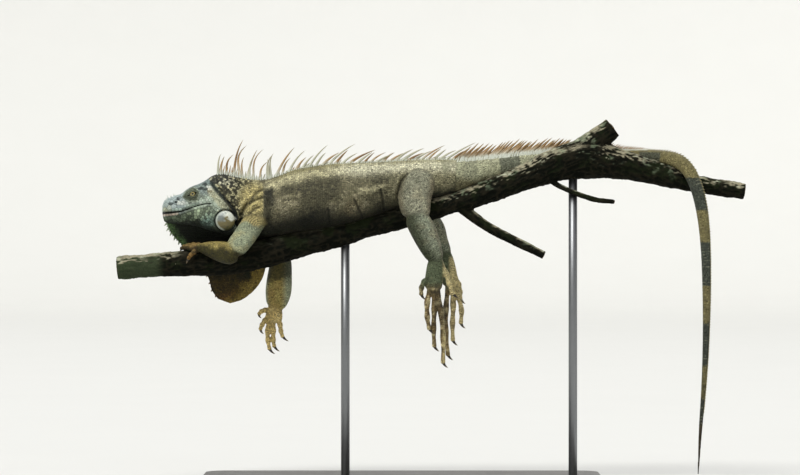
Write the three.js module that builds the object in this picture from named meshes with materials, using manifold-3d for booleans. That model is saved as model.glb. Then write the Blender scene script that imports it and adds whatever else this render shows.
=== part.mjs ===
// A green iguana draped along a cut length of branch, held up by a plain display stand.
// Units are millimetres and +Z is up. The animal faces -X and its left side faces -Y.
// The origin is the centre of the base's underside, on the floor.
import * as THREE from "three";
import { mergeVertices } from "three/addons/utils/BufferGeometryUtils.js";
import Module from "manifold-3d";

const wasm = await Module();
wasm.setup();

// Driving dimensions. The animal measures 415 from snout to vent, with a tail of about twice that.
const GAP = 0.3;
const BASE = { length: 600, width: 240, thickness: 10, corner: 30, edge: 1.5 };
const ROD = { radius: 6.5, sides: 18, foreX: -85, rearX: 256 };
const EYE = { x: -314.5, y: 16.3, z: 432.4, radius: 7.2, slope: -0.33, detail: [12, 8] };

// The tall spines: their spacing and thickness, and how they grow and lean from nape to hips.
// Leans are in radians from upright. Of the spines on neck and back, a share is long.
const CREST = {
  spacing: 9.4,
  rootDepth: 4,
  broad: 2.5,
  thick: 1.15,
  startGap: 7.5,
  endGap: 5.5,
  napeX: -278,
  napeReach: 16,
  napeSize: 0.45,
  shoulderX: -158,
  shoulderReach: 50,
  neck: { length: 54, lean: 0.08, longShare: 0.55, shortSize: 0.55 },
  back: { length: 42, lean: 0.62, longShare: 0.3, shortSize: 0.66 },
  hipX: -40,
  hipReach: 110,
  hipLean: 0.95,
  uneven: 0.12,
  leanSpread: 0.14,
  sideSpread: 0.13,
  seed: 20,
};

// The close set spines of the tail: at its root, and where they have faded to a saw edge.
const TAIL_CREST = {
  spacing: 8,
  firstAt: 4,
  lastTallRow: 8.8,
  fadeRows: 4.6,
  bend: 0.06,
  root: { length: 31, lean: 0.92, broad: 2.6, thick: 1.05 },
  saw: { length: 3.4, lean: 0.75, broad: 1.6, thick: 0.7 },
  framesPerRow: 24,
};
const CLAW = { rootDepth: 3.5, hook: 0.55, drop: 0.35, broad: 0.72, thick: 0.52 };
const SEARCH_STEPS = 40;

// Small helpers for numbers, random draws and smooth curves through rows of numbers.
const lerp = (a, b, t) => a + (b - a) * t;
const clamp01 = (t) => Math.min(1, Math.max(0, t));
const smooth = (t) => clamp01(t) ** 2 * (3 - 2 * clamp01(t));
const vec = (x, y, z) => new THREE.Vector3(x, y, z);

function randomDraws(seed) {
  let state = seed;
  return (low, high) => {
    state = (state * 1664525 + 1013904223) % 4294967296;
    return lerp(low, high, state / 4294967296);
  };
}

// A row of numbers on the Catmull-Rom curve through the given rows, at t counted in rows.
function rowAt(rows, t) {
  const last = rows.length - 1;
  const i = Math.min(last - 1, Math.max(0, Math.floor(t)));
  const f = t - i;
  const before = rows[Math.max(0, i - 1)];
  const after = rows[Math.min(last, i + 2)];
  return rows[i].map((b, k) => {
    const c = rows[i + 1][k];
    const a = i > 0 ? before[k] : 2 * b - c;
    const d = i + 2 <= last ? after[k] : 2 * c - b;
    return b + 0.5 * f * (c - a + f * (2 * a - 5 * b + 4 * c - d + f * (3 * (b - c) + d - a)));
  });
}

// The value of t, counted in rows, at which one column of the curve passes a wanted value.
function whereColumnIs(rows, column, wanted) {
  const rising = rows[rows.length - 1][column] > rows[0][column];
  let low = 0;
  let high = rows.length - 1;
  for (let k = 0; k < SEARCH_STEPS; k++) {
    const middle = (low + high) / 2;
    const below = rowAt(rows, middle)[column] < wanted;
    if (below === rising) low = middle;
    else high = middle;
  }
  return (low + high) / 2;
}

// Solids: a closed triangle list becomes a manifold, facing out whatever its winding.
function solidFrom(points, triangles) {
  let volume = 0;
  for (const [a, b, c] of triangles) volume += points[a].dot(points[b].clone().cross(points[c]));
  const faces = volume < 0 ? triangles.map(([a, b, c]) => [a, c, b]) : triangles;
  const geometry = new THREE.BufferGeometry();
  geometry.setAttribute(
    "position",
    new THREE.Float32BufferAttribute(points.flatMap((p) => [p.x, p.y, p.z]), 3),
  );
  geometry.setIndex(faces.flat());
  return solidOf(geometry);
}

function solidOf(geometry) {
  const bare = geometry.clone();
  bare.deleteAttribute("normal");
  bare.deleteAttribute("uv");
  const merged = mergeVertices(bare, 1e-4);
  return new wasm.Manifold(
    new wasm.Mesh({
      numProp: 3,
      vertProperties: merged.attributes.position.array,
      triVerts: new Uint32Array(merged.index.array),
    }),
  );
}

// A skin over a row of rings with the same number of points, closed by a fan at each end.
function loft(rings) {
  const sides = rings[0].length;
  const points = rings.flat();
  const triangles = [];
  for (let i = 0; i + 1 < rings.length; i++)
    for (let k = 0; k < sides; k++) {
      const a = i * sides + k;
      const b = i * sides + ((k + 1) % sides);
      triangles.push([a, b, b + sides], [a, b + sides, a + sides]);
    }
  for (const end of [0, rings.length - 1]) {
    const centre = rings[end].reduce((s, p) => s.add(p), vec(0, 0, 0)).divideScalar(sides);
    const hub = points.push(centre) - 1;
    for (let k = 0; k < sides; k++) {
      const a = end * sides + k;
      const b = end * sides + ((k + 1) % sides);
      triangles.push(end === 0 ? [hub, b, a] : [hub, a, b]);
    }
  }
  return solidFrom(points, triangles);
}

// A tube along rows of [x, y, z, half width, half height]. Its rings turn as little as they can.
function tube(rows, { sides = 12, steps = 3, up = vec(0, 0, 1), from = 0, to, grow = 0, startGap = 0 }) {
  const end = to ?? rows.length - 1;
  const count = Math.max(1, Math.round((end - from) * steps));
  const place = (t) => vec(...rowAt(rows, t).slice(0, 3));
  const heading = (t) => place(t + 0.02).sub(place(t - 0.02)).normalize();
  let ahead = heading(0);
  let top = up.clone().addScaledVector(ahead, -up.dot(ahead)).normalize();
  const rings = [];
  const walk = Math.ceil(from * steps) + count;
  for (let n = 0; n <= walk; n++) {
    const before = Math.ceil(from * steps);
    const t = n < before ? n / steps : from + ((end - from) * (n - before)) / count;
    const next = heading(Math.min(rows.length - 1.02, Math.max(0.02, t)));
    top.applyQuaternion(new THREE.Quaternion().setFromUnitVectors(ahead, next));
    ahead = next;
    if (n < before) continue;
    const [, , , width, height] = rowAt(rows, t);
    const centre = place(t);
    if (rings.length === 0) centre.addScaledVector(ahead, startGap);
    const side = ahead.clone().cross(top);
    rings.push(
      Array.from({ length: sides }, (_, k) => {
        const angle = (2 * Math.PI * k) / sides;
        return centre
          .clone()
          .addScaledVector(side, Math.sin(angle) * (width + grow))
          .addScaledVector(top, Math.cos(angle) * (height + grow));
      }),
    );
  }
  return loft(rings);
}

function ellipsoid(centre, radii, turn = [0, 0, 0], detail = [12, 8]) {
  const geometry = new THREE.SphereGeometry(1, ...detail);
  const spin = new THREE.Quaternion().setFromEuler(new THREE.Euler(...turn));
  geometry.applyMatrix4(new THREE.Matrix4().compose(vec(...centre), spin, vec(...radii)));
  return solidOf(geometry);
}

function fuse(pieces) {
  const whole = wasm.Manifold.union(pieces);
  return whole.decompose().reduce((best, piece) => (piece.volume() > best.volume() ? piece : best));
}

function carve(solid, cutters) {
  const left = cutters.reduce((kept, cutter) => kept.subtract(cutter), solid);
  return left.decompose().reduce((best, piece) => (piece.volume() > best.volume() ? piece : best));
}

// A spine, horn or claw: four flat sides that taper along a bent line from root to a sharp tip.
function thorn({ root, along, bend, length, broad, thick, across }) {
  const side = across.clone().addScaledVector(along, -across.dot(along)).normalize();
  const placeAt = (s) =>
    root
      .clone()
      .addScaledVector(along, s * length)
      .addScaledVector(bend, s * s * length);
  const points = [];
  for (const [s, taper] of [[0, 1], [0.55, 0.62]]) {
    const heading = along.clone().addScaledVector(bend, 2 * s).normalize();
    const edge = heading.clone().cross(side).normalize();
    const centre = placeAt(s);
    for (const [a, b] of [[1, 0], [0, 1], [-1, 0], [0, -1]])
      points.push(
        centre
          .clone()
          .addScaledVector(side, a * thick * taper)
          .addScaledVector(edge, b * broad * taper),
      );
  }
  const tip = points.push(placeAt(1)) - 1;
  const triangles = [[0, 2, 1], [0, 3, 2]];
  for (let k = 0; k < 4; k++) {
    const next = (k + 1) % 4;
    triangles.push([k, next, next + 4], [k, next + 4, k + 4], [k + 4, next + 4, tip]);
  }
  return solidFrom(points, triangles);
}

// The perch: rows of [x, y, z, radius, radius] along each limb of the branch.
const branchRows = [
  [-426, -12, 322, 16.5],
  [-378, -12, 325.8, 17],
  [-318, -13, 329.5, 19.5],
  [-258, -12, 334.8, 21],
  [-205, -6, 344.5, 21],
  [-153, 0, 358.8, 20.3],
  [-108, 0, 370.3, 19.3],
  [-55, 0, 385.3, 18],
  [-3, 0, 399, 17.6],
  [57, 0, 414.3, 15],
  [102, -3, 427, 16.7],
  [147, -6, 444, 17.6],
  [192, -6, 461, 20.2],
  [237, -6, 478, 25.2],
  [282, -6, 485.5, 28.5],
  [327, -5, 478, 22.5],
  [364, -3, 469, 18],
  [399, -2, 460, 15.5],
  [432, -1, 450.3, 13],
  [470, 0, 443.5, 12],
  [514, 0, 437.5, 12],
].map(([x, y, z, r]) => [x, y, z, r, r]);
const forkRows = [
  [250, -7, 482, 20],
  [284, -8, 507, 18],
  [316, -10, 532, 15],
].map(([x, y, z, r]) => [x, y, z, r, r]);
const sideBranchRows = [
  [88, -3, 413, 8.5],
  [130, -5, 383, 7.4],
  [168, -4, 363, 6.6],
  [213, -2, 341, 6.2],
].map(([x, y, z, r]) => [x, y, z, r, r]);
const twigRows = [
  [210, -12, 462, 4.6],
  [237, -16, 444, 4],
  [282, -16, 426, 3.6],
  [318, -14, 421, 3.3],
].map(([x, y, z, r]) => [x, y, z, r, r]);

const branch = (grow) => tube(branchRows, { sides: 14, steps: 1, grow });
const branchClear = branch(GAP);
const perch = {
  perch_branch: branch(0),
  perch_fork: carve(tube(forkRows, { sides: 12, steps: 1 }), [branchClear]),
  perch_side_branch: carve(tube(sideBranchRows, { sides: 9, steps: 2 }), [branchClear]),
  perch_twig: carve(tube(twigRows, { sides: 7, steps: 2 }), [branchClear]),
};

// The stand: a flat base with rounded corners, and two rods whose tops follow the branch.
function baseSolid() {
  const { length, width, thickness, corner, edge } = BASE;
  const [x, y] = [length / 2 - edge, width / 2 - edge];
  const outline = new THREE.Shape();
  outline.moveTo(-x + corner, -y);
  outline.lineTo(x - corner, -y);
  outline.absarc(x - corner, -y + corner, corner, -Math.PI / 2, 0);
  outline.lineTo(x, y - corner);
  outline.absarc(x - corner, y - corner, corner, 0, Math.PI / 2);
  outline.lineTo(-x + corner, y);
  outline.absarc(-x + corner, y - corner, corner, Math.PI / 2, Math.PI);
  outline.lineTo(-x, -y + corner);
  outline.absarc(-x + corner, -y + corner, corner, Math.PI, 1.5 * Math.PI);
  const plate = new THREE.ExtrudeGeometry(outline, {
    depth: thickness - 2 * edge,
    bevelThickness: edge,
    bevelSize: edge,
    bevelSegments: 1,
    curveSegments: 5,
  });
  plate.translate(0, 0, edge);
  return solidOf(plate);
}

function rodSolid(x) {
  const [, y, z] = rowAt(branchRows, whereColumnIs(branchRows, 0, x));
  const low = BASE.thickness + GAP;
  const rod = new THREE.CylinderGeometry(ROD.radius, ROD.radius, z - low, ROD.sides);
  rod.rotateX(Math.PI / 2);
  rod.translate(x, y, (z + low) / 2);
  return carve(solidOf(rod), [branchClear]);
}

const stand = {
  stand_base: baseSolid(),
  stand_rod_fore: rodSolid(ROD.foreX),
  stand_rod_rear: rodSolid(ROD.rearX),
};

// The head: slanted rings from snout to nape. Each row holds the top point (x, z), the bottom
// point (x, z), how far up the mouth line runs, and half widths at jaw, lip, temple and crown.
const headRows = [
  [-359.4, 415.8, -358.5, 398.5, 0.23, 5, 5.5, 5, 3],
  [-356.3, 422.8, -356.6, 392, 0.347, 10, 12, 11, 6],
  [-350.3, 426.5, -350.3, 389.5, 0.39, 14, 16.5, 14, 8],
  [-339.8, 430.5, -337.5, 388.5, 0.417, 17.5, 19, 15.5, 9.5],
  [-330, 434.2, -325.5, 387.5, 0.42, 20, 20.5, 17, 11],
  [-322.5, 440.2, -315, 386, 0.455, 22.5, 22, 19, 12.5],
  [-313.5, 445, -303, 383.5, 0.505, 25, 23.5, 20.5, 14],
  [-304.5, 448.3, -289.5, 379, 0.558, 29, 26, 22, 15],
  [-297, 452, -276, 375.3, 0.557, 33, 29, 24, 15.5],
  [-290.3, 456.5, -262.5, 373, 0.56, 35, 31, 25, 15.5],
  [-285, 460, -251.3, 373, 0.56, 33.5, 30, 24.5, 15],
  [-280.5, 461.5, -243.8, 375.3, 0.56, 28, 27, 23, 14],
];
const MOUTH = { corner: 8, fade: 1.5, depth: 2, lipShare: 0.045, lowerLip: 0.3, upperLip: 0.6 };

// Half of a head ring, from the middle of the chin to the middle of the crown, as [half width, height].
function headProfile([, , , , mouth, jaw, lip, temple, crown], t) {
  const open = smooth((MOUTH.corner - t) / MOUTH.fade);
  const edge = MOUTH.lipShare * open;
  return [
    [0, 0],
    [0.5 * jaw, 0.02],
    [0.84 * jaw, 0.12],
    [jaw, 0.3],
    [lerp(jaw, lip, 0.6), lerp(0.3, mouth, 0.6)],
    [lip + MOUTH.lowerLip * open, mouth - edge],
    [lip - MOUTH.depth * open, mouth + 0.004],
    [lip + MOUTH.upperLip * open, mouth + edge + 0.012],
    [lerp(lip, temple, 0.4), lerp(mouth, 0.8, 0.42)],
    [temple, 0.8],
    [lerp(temple, crown, 0.45), 0.915],
    [crown, 0.975],
    [0.5 * crown, 0.995],
    [0, 1],
  ];
}

function headRing(t, grow, grooved) {
  const row = rowAt(headRows, t);
  const top = vec(row[0], 0, row[1]);
  const bottom = vec(row[2], 0, row[3]);
  const height = top.distanceTo(bottom);
  const rise = top.clone().sub(bottom).divideScalar(height);
  const half = headProfile(row, grooved ? t : MOUTH.corner).map(([w, h]) => {
    const stretched = h * height + (2 * h - 1) * grow;
    return [w > 0 ? w + grow : 0, stretched];
  });
  const place = ([w, h], side) => bottom.clone().addScaledVector(rise, h).add(vec(0, side * w, 0));
  const right = half.map((p) => place(p, 1));
  const left = half.slice(1, -1).reverse().map((p) => place(p, -1));
  return [...right, ...left];
}

function headBlock(grow, grooved) {
  const steps = 2;
  const count = (headRows.length - 1) * steps;
  const rings = [];
  for (let n = 0; n <= count; n++) rings.push(headRing(n / steps, grow, grooved));
  return loft(rings);
}

// What stands out from the head's block on each side, and what is hollowed out of it, as given
// for the right side: centre, radii, turns about x, y and z, and segments round and down.
const lidSlope = [0, EYE.slope, 0];
const orbitRadii = [EYE.radius + GAP, EYE.radius + GAP, EYE.radius + GAP];
const openingAt = [EYE.x + 2.3, EYE.y + 7.4, EYE.z + 0.6];
const headForms = {
  lids: { at: [EYE.x - 1.5, 15.2, EYE.z - 1.4], radii: [12.6, 9.4, 10], turn: lidSlope, detail: [13, 7] },
  brow: { at: [EYE.x + 1, 14.6, EYE.z + 6.2], radii: [13.5, 5.8, 3.4], turn: lidSlope, detail: [10, 5] },
  shield: { at: [-263.4, 33.2, 392.8], radii: [14.2, 3.8, 14.8], turn: [0, 0, -0.06], detail: [14, 6] },
  nostrilRim: { at: [-337.5, 15.2, 422.5], radii: [5.2, 3.4, 4], turn: [0, 0.3, 0.2], detail: [8, 5] },
};
const headHollows = {
  orbit: { at: [EYE.x, EYE.y, EYE.z], radii: orbitRadii, turn: [0, 0, 0], detail: EYE.detail },
  opening: { at: openingAt, radii: [5.2, 4.4, 3.5], turn: lidSlope, detail: [10, 6] },
  nostril: { at: [-338.4, 18.8, 422.8], radii: [2.6, 2.4, 1.7], turn: [0, 0.4, 0], detail: [6, 4] },
  ear: { at: [-277, 32.2, 419], radii: [4.6, 3.4, 5.6], turn: [0, 0.2, 0], detail: [9, 6] },
};

// One such form on the given side, mirrored for the left.
function sided({ at: [x, y, z], radii, turn: [a, b, c], detail }, side) {
  return ellipsoid([x, side * y, z], radii, [a, b, side * c], detail);
}

function headSolid() {
  const pieces = [headBlock(0, true)];
  const hollows = [];
  for (const side of [-1, 1]) {
    for (const form of Object.values(headForms)) pieces.push(sided(form, side));
    for (const hollow of Object.values(headHollows)) hollows.push(sided(hollow, side));
  }
  for (const [x, y, z, length] of snoutHorns)
    pieces.push(
      thorn({
        root: vec(x, y, z - 2),
        along: vec(-0.25, 0, 1).normalize(),
        bend: vec(-0.1, 0, 0),
        length: length + 2,
        broad: 1.8,
        thick: 1.5,
        across: vec(0, 1, 0),
      }),
    );
  return carve(fuse(pieces), hollows);
}

// Small horns that stand on the snout in front of the eyes: x, y, z of the root and the length.
const snoutHorns = [
  [-350, 0, 426.2, 5.5],
  [-345.5, -3.2, 428, 4.2],
  [-345.5, 3.2, 428, 4.2],
  [-341, 0, 429.8, 5],
];

// The trunk: rows of top point (x, z), bottom point (x, z) and half width, from nape to tail root.
const trunkRows = [
  [-280.1, 461.3, -243.4, 375.6, 26.5],
  [-267, 462.6, -231, 370, 28],
  [-249, 458.5, -219, 367, 29],
  [-228, 455, -207, 366, 32],
  [-207, 454, -195, 367.3, 36],
  [-186, 459.3, -180, 370, 40],
  [-162, 468.3, -159, 374, 43],
  [-135, 473.5, -135, 377, 45],
  [-105, 477.3, -106.5, 381, 46],
  [-75, 478.6, -78, 387, 45],
  [-45, 480, -49.5, 395, 41],
  [-15, 481.6, -21, 405, 35],
  [12, 483.3, 7.5, 415.5, 30],
  [39, 484, 36, 423.8, 27],
  [60, 484.3, 58.5, 428.5, 24.5],
  [81, 483.8, 79.5, 434.8, 22.5],
];
const TRUNK_SIDES = 18;
const TRUNK_STEPS = 1.5;
const SHOULDER_CUT = 4;
const WAIST_CUT = 9;

// How far the upper flanks fall in towards the line of the back.
const FALL_IN = 0.64;

function trunkRing(t, grow, shift) {
  const [topX, topZ, bottomX, bottomZ, width] = rowAt(trunkRows, t);
  const top = vec(topX + shift, 0, topZ);
  const bottom = vec(bottomX + shift, 0, bottomZ);
  const reach = top.distanceTo(bottom) / 2 + grow;
  const rise = top.clone().sub(bottom).normalize();
  const middle = top.add(bottom).divideScalar(2);
  return Array.from({ length: TRUNK_SIDES }, (_, k) => {
    const angle = (2 * Math.PI * k) / TRUNK_SIDES;
    const height = Math.cos(angle);
    const fullness = height > 0 ? 1 - FALL_IN * height ** 2 * (1 - height) : 1;
    const side = Math.sin(angle) * fullness * (width + grow);
    return middle.clone().addScaledVector(rise, height * reach).add(vec(0, side, 0));
  });
}

function trunk(from, to, grow = 0, shift = 0) {
  const count = Math.round((to - from) * TRUNK_STEPS);
  const rings = [];
  for (let n = 0; n <= count; n++)
    rings.push(trunkRing(from + ((to - from) * n) / count, grow, n === 0 ? shift : 0));
  return loft(rings);
}

const TRUNK_END = trunkRows.length - 1;
const trunkClear = trunk(0, TRUNK_END, GAP);

// The tail: rows of [x, y, z, half width, half height]. It runs behind the branch, crosses over
// the thin end of it and hangs down in front.
const tailRows = [
  [60, 0, 457.6, 24, 26.3],
  [81, 3, 460.3, 22.4, 24.4],
  [105, 8, 464.2, 19.8, 21.8],
  [147, 20.5, 471, 17, 19.2],
  [192, 28, 477.7, 15, 17.2],
  [237, 34.5, 483.4, 13.3, 15.3],
  [282, 38.5, 486.3, 12, 13.8],
  [321, 33.5, 487, 11.2, 12.8],
  [357, 22.5, 488, 10.6, 12],
  [381, 11.5, 487.5, 10.2, 11.5],
  [400.5, 0, 485.5, 10, 11.2],
  [415.5, -11.5, 480.3, 9.7, 10.8],
  [427, -20.5, 469, 9.4, 10.2],
  [435.5, -25.5, 452.5, 9.1, 9.8],
  [443.5, -25.5, 428.5, 8.8, 9.4],
  [450, -22, 394, 8.1, 8.6],
  [454, -18, 349, 7.1, 7.5],
  [455.6, -14.5, 296.5, 6.2, 6.6],
  [455.6, -12, 244, 5.3, 5.6],
  [454, -10, 184, 4.3, 4.6],
  [451, -9, 131.5, 3.4, 3.6],
  [447, -8, 79, 2.4, 2.6],
  [443.5, -7.5, 13, 0.8, 0.9],
];
const TAIL_CUTS = [0, 5, 9, 13, 16, 19, tailRows.length - 1];

function tailPiece(index) {
  const piece = tube(tailRows, {
    sides: index < 3 ? 16 : 12,
    steps: index < 4 ? 2 : 1,
    from: TAIL_CUTS[index],
    to: TAIL_CUTS[index + 1],
    startGap: index > 0 ? GAP : 0,
  });
  return index > 0 ? piece : piece.trimByPlane([1, 0, 0], tailRows[1][0] + GAP);
}

// The crest. On nape and neck the spines are longest, uneven and nearly upright. Along the back
// they lean towards the tail more and more. On the tail they are close set, lie well back and
// shrink to a low saw edge.
function crestShape(x, draw) {
  const { neck, back } = CREST;
  const nape = lerp(CREST.napeSize, 1, smooth((x - CREST.napeX) / CREST.napeReach));
  const onNeck = smooth((CREST.shoulderX - x) / CREST.shoulderReach);
  const long = draw(0, 1) < lerp(back.longShare, neck.longShare, onNeck);
  const size = long ? 1 : lerp(back.shortSize, neck.shortSize, onNeck);
  const uneven = draw(1 - CREST.uneven, 1 + CREST.uneven);
  const length = lerp(back.length, neck.length, onNeck) * nape * size * uneven;
  const backLean = lerp(CREST.hipLean, back.lean, smooth((CREST.hipX - x) / CREST.hipReach));
  const lean = lerp(backLean, neck.lean, onNeck) + draw(-CREST.leanSpread, CREST.leanSpread);
  return { length, lean };
}

function trunkCrest(from, to, draw) {
  const spines = [];
  const startX = rowAt(trunkRows, from)[0] + CREST.startGap;
  const endX = rowAt(trunkRows, to)[0] - CREST.endGap;
  const count = Math.floor((endX - startX) / CREST.spacing);
  for (let n = 0; n <= count; n++) {
    const x = lerp(startX, endX, n / count);
    const z = rowAt(trunkRows, whereColumnIs(trunkRows, 0, x))[1];
    const { length, lean } = crestShape(x, draw);
    const sideways = draw(-CREST.sideSpread, CREST.sideSpread);
    const along = vec(Math.sin(lean), sideways, Math.cos(lean)).normalize();
    spines.push(
      thorn({
        root: vec(x, 0, z).addScaledVector(along, -CREST.rootDepth),
        along,
        bend: vec(draw(-0.08, 0.2), draw(-0.08, 0.08), -0.05),
        length: length + CREST.rootDepth,
        broad: CREST.broad,
        thick: CREST.thick,
        across: vec(0, 1, 0),
      }),
    );
  }
  return spines;
}

// The tail's crest stands on the upper edge of the tube, so it needs the tube's own frame.
function tailFrames(stepsPerRow) {
  const frames = [];
  const place = (t) => vec(...rowAt(tailRows, t).slice(0, 3));
  let ahead = null;
  const top = vec(0, 0, 1);
  for (let n = 1; n < (tailRows.length - 1) * stepsPerRow; n++) {
    const t = n / stepsPerRow;
    const next = place(t + 0.01).sub(place(t - 0.01)).normalize();
    if (ahead === null) top.addScaledVector(next, -top.dot(next)).normalize();
    else top.applyQuaternion(new THREE.Quaternion().setFromUnitVectors(ahead, next));
    ahead = next;
    frames.push({ t, place: place(t), ahead, top: top.clone(), height: rowAt(tailRows, t)[4] });
  }
  return frames;
}

function tailCrest(from, to, draw) {
  const spines = [];
  const { root, saw } = TAIL_CREST;
  const frames = tailFrames(TAIL_CREST.framesPerRow);
  let walked = 0;
  let wanted = TAIL_CREST.firstAt;
  for (let n = 1; n < frames.length; n++) {
    const { t, place, ahead, top, height } = frames[n];
    if (t < from || t > to) continue;
    walked += place.distanceTo(frames[n - 1].place);
    if (walked < wanted) continue;
    const tall = smooth((TAIL_CREST.lastTallRow - t) / TAIL_CREST.fadeRows);
    const length = lerp(saw.length, root.length, tall) * draw(0.8, 1.12);
    wanted = walked + TAIL_CREST.spacing;
    const lean = lerp(saw.lean, root.lean, tall);
    const along = ahead.clone().multiplyScalar(Math.sin(lean)).addScaledVector(top, Math.cos(lean));
    const sink = Math.min(CREST.rootDepth, 0.5 * height);
    spines.push(
      thorn({
        root: place.clone().addScaledVector(top, height).addScaledVector(along, -sink),
        along,
        bend: ahead.clone().multiplyScalar(TAIL_CREST.bend),
        length: length + sink,
        broad: lerp(saw.broad, root.broad, tall),
        thick: lerp(saw.thick, root.thick, tall),
        across: ahead.clone().cross(top),
      }),
    );
  }
  return spines;
}

// The dewlap: a fold of skin that hangs from chin and throat and passes behind the branch.
// Its outline runs down the front edge, round the bottom and up the rear edge, as [x, z].
const dewlapFront = [
  [-352, 402],
  [-353, 391],
  [-349.5, 379],
  [-342, 368],
  [-331.5, 356.5],
  [-318, 340],
  [-303, 323.5],
  [-291.5, 307],
  [-286.5, 289],
  [-277.5, 275.5],
];
const dewlapRear = [
  [-225, 392],
  [-216, 383],
  [-208, 372],
  [-203, 358],
  [-203, 341],
  [-206.5, 318],
  [-213, 301],
  [-225, 286],
  [-241, 274],
  [-259, 268.5],
];
const DEWLAP = { columns: 7, rows: 13, thickness: 4.4, edge: 1.6, clearance: 9, throat: 392, swing: 40 };
const SPIKES = { count: 13, from: 1.1, to: 8.6, top: 8.5, bottom: 5.6, sink: 3, broad: 2.2, thick: 0.75 };

// How far to the right of the middle plane the fold hangs, so that it passes behind the branch.
function dewlapSwing(x, z) {
  const [, branchY, , radius] = rowAt(branchRows, whereColumnIs(branchRows, 0, x));
  const behind = branchY + radius + DEWLAP.thickness / 2 + DEWLAP.clearance;
  return smooth((DEWLAP.throat - z) / DEWLAP.swing) * behind;
}

// Flat spikes in a row make the front edge of the fold serrated, and shrink towards its bottom.
function dewlapSpikes() {
  const spikes = [];
  for (let k = 0; k < SPIKES.count; k++) {
    const share = k / (SPIKES.count - 1);
    const t = lerp(SPIKES.from, SPIKES.to, share);
    const [x, z] = rowAt(dewlapFront, t);
    const [aheadX, aheadZ] = rowAt(dewlapFront, t + 0.05);
    const down = vec(aheadX - x, 0, aheadZ - z).normalize();
    const out = vec(down.z, 0, -down.x);
    spikes.push(
      thorn({
        root: vec(x, dewlapSwing(x, z), z).addScaledVector(out, -SPIKES.sink),
        along: out.addScaledVector(down, 0.35).normalize(),
        bend: down.clone().multiplyScalar(0.15),
        length: lerp(SPIKES.top, SPIKES.bottom, share),
        broad: SPIKES.broad,
        thick: SPIKES.thick,
        across: vec(0, 1, 0),
      }),
    );
  }
  return spikes;
}

function dewlapSheet() {
  const { columns, rows, thickness, edge } = DEWLAP;
  const faces = [[], []];
  for (let r = 0; r <= rows; r++) {
    const t = ((dewlapFront.length - 1) * r) / rows;
    const front = rowAt(dewlapFront, t);
    const rear = rowAt(dewlapRear, t);
    for (let c = 0; c <= columns; c++) {
      const s = c / columns;
      const x = lerp(front[0], rear[0], s);
      const z = lerp(front[1], rear[1], s);
      const y = dewlapSwing(x, z);
      const nearEdge = Math.min(s, 1 - s, (rows - r) / rows + 0.02);
      const half = 0.5 * lerp(edge, thickness, smooth(nearEdge / 0.25));
      faces[0].push(vec(x, y - half, z));
      faces[1].push(vec(x, y + half, z));
    }
  }
  const width = columns + 1;
  const offset = faces[0].length;
  const triangles = [];
  const at = (r, c) => r * width + c;
  for (let r = 0; r < rows; r++)
    for (let c = 0; c < columns; c++) {
      const [a, b, d, e] = [at(r, c), at(r, c + 1), at(r + 1, c), at(r + 1, c + 1)];
      triangles.push([a, b, e], [a, e, d]);
      triangles.push([a + offset, e + offset, b + offset], [a + offset, d + offset, e + offset]);
    }
  const rim = [];
  for (let c = 0; c < columns; c++) rim.push(at(0, c));
  for (let r = 0; r < rows; r++) rim.push(at(r, columns));
  for (let c = columns; c > 0; c--) rim.push(at(rows, c));
  for (let r = rows; r > 0; r--) rim.push(at(r, 0));
  rim.forEach((a, k) => {
    const b = rim[(k + 1) % rim.length];
    triangles.push([b, a, a + offset], [b, a + offset, b + offset]);
  });
  return solidFrom([...faces[0], ...faces[1]], triangles);
}

// Limbs: rows of [x, y, z, half width, half height] for each length, ends rounded by small rows.
const limbRows = {
  left_upper_arm: [
    [-214, -24, 398, 12, 15],
    [-222, -33, 388, 14, 18],
    [-235, -44, 368, 14, 18.5],
    [-247, -50, 352, 13, 16.5],
    [-253, -51.5, 344, 7, 9],
  ],
  left_forearm: [
    [-243, -51, 341, 7, 9],
    [-252, -51, 343, 12, 15.5],
    [-268, -48, 346.5, 12.5, 15.5],
    [-286, -42, 350.5, 10, 11.5],
    [-299, -37.5, 352.5, 7, 7],
    [-304, -35.5, 353, 5, 5],
  ],
  right_upper_arm: [
    [-207, 24, 398, 12, 15],
    [-205, 33, 388, 14, 17],
    [-196, 42, 366, 14, 16.5],
    [-187, 47, 344, 13, 15],
    [-184, 48, 335, 7, 8],
  ],
  right_forearm: [
    [-184, 48, 343, 7, 8],
    [-183, 48, 334, 12, 15],
    [-185, 46, 310, 12.5, 18.5],
    [-187, 44, 286, 12, 19.5],
    [-189.5, 42, 269, 10, 16],
    [-191, 41, 261, 7, 11],
  ],
  left_thigh: [
    [26, -8, 462, 14, 18],
    [24, -18, 450, 20, 25],
    [19, -33, 426, 21, 25],
    [21, -46, 404, 16, 20.5],
    [19.5, -49, 393, 9, 13],
  ],
  left_shank: [
    [16, -50, 405, 8, 11],
    [22, -50, 395, 14, 17.5],
    [32.5, -48.5, 376, 15, 19],
    [41, -46, 357, 13, 17],
    [48, -44, 341, 10.5, 13.5],
    [50, -43, 334, 7.5, 10],
  ],
  right_thigh: [
    [30, 8, 462, 14, 18],
    [30, 18, 450, 20, 24],
    [30, 33, 428, 20, 23],
    [33, 45, 409, 15, 18],
    [34, 48, 399, 9, 11],
  ],
  right_shank: [
    [29, 49, 409, 8, 10],
    [34, 49, 400, 13.5, 16],
    [48, 47, 382, 14, 16.5],
    [57, 44.5, 362, 11.5, 13],
    [64, 43, 347, 9, 10.5],
    [66.5, 42, 341, 7, 8],
  ],
};
const limb = (name, grow = 0) => tube(limbRows[name], { sides: 12, steps: 1.5, up: vec(1, 0, 0.3), grow });

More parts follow.
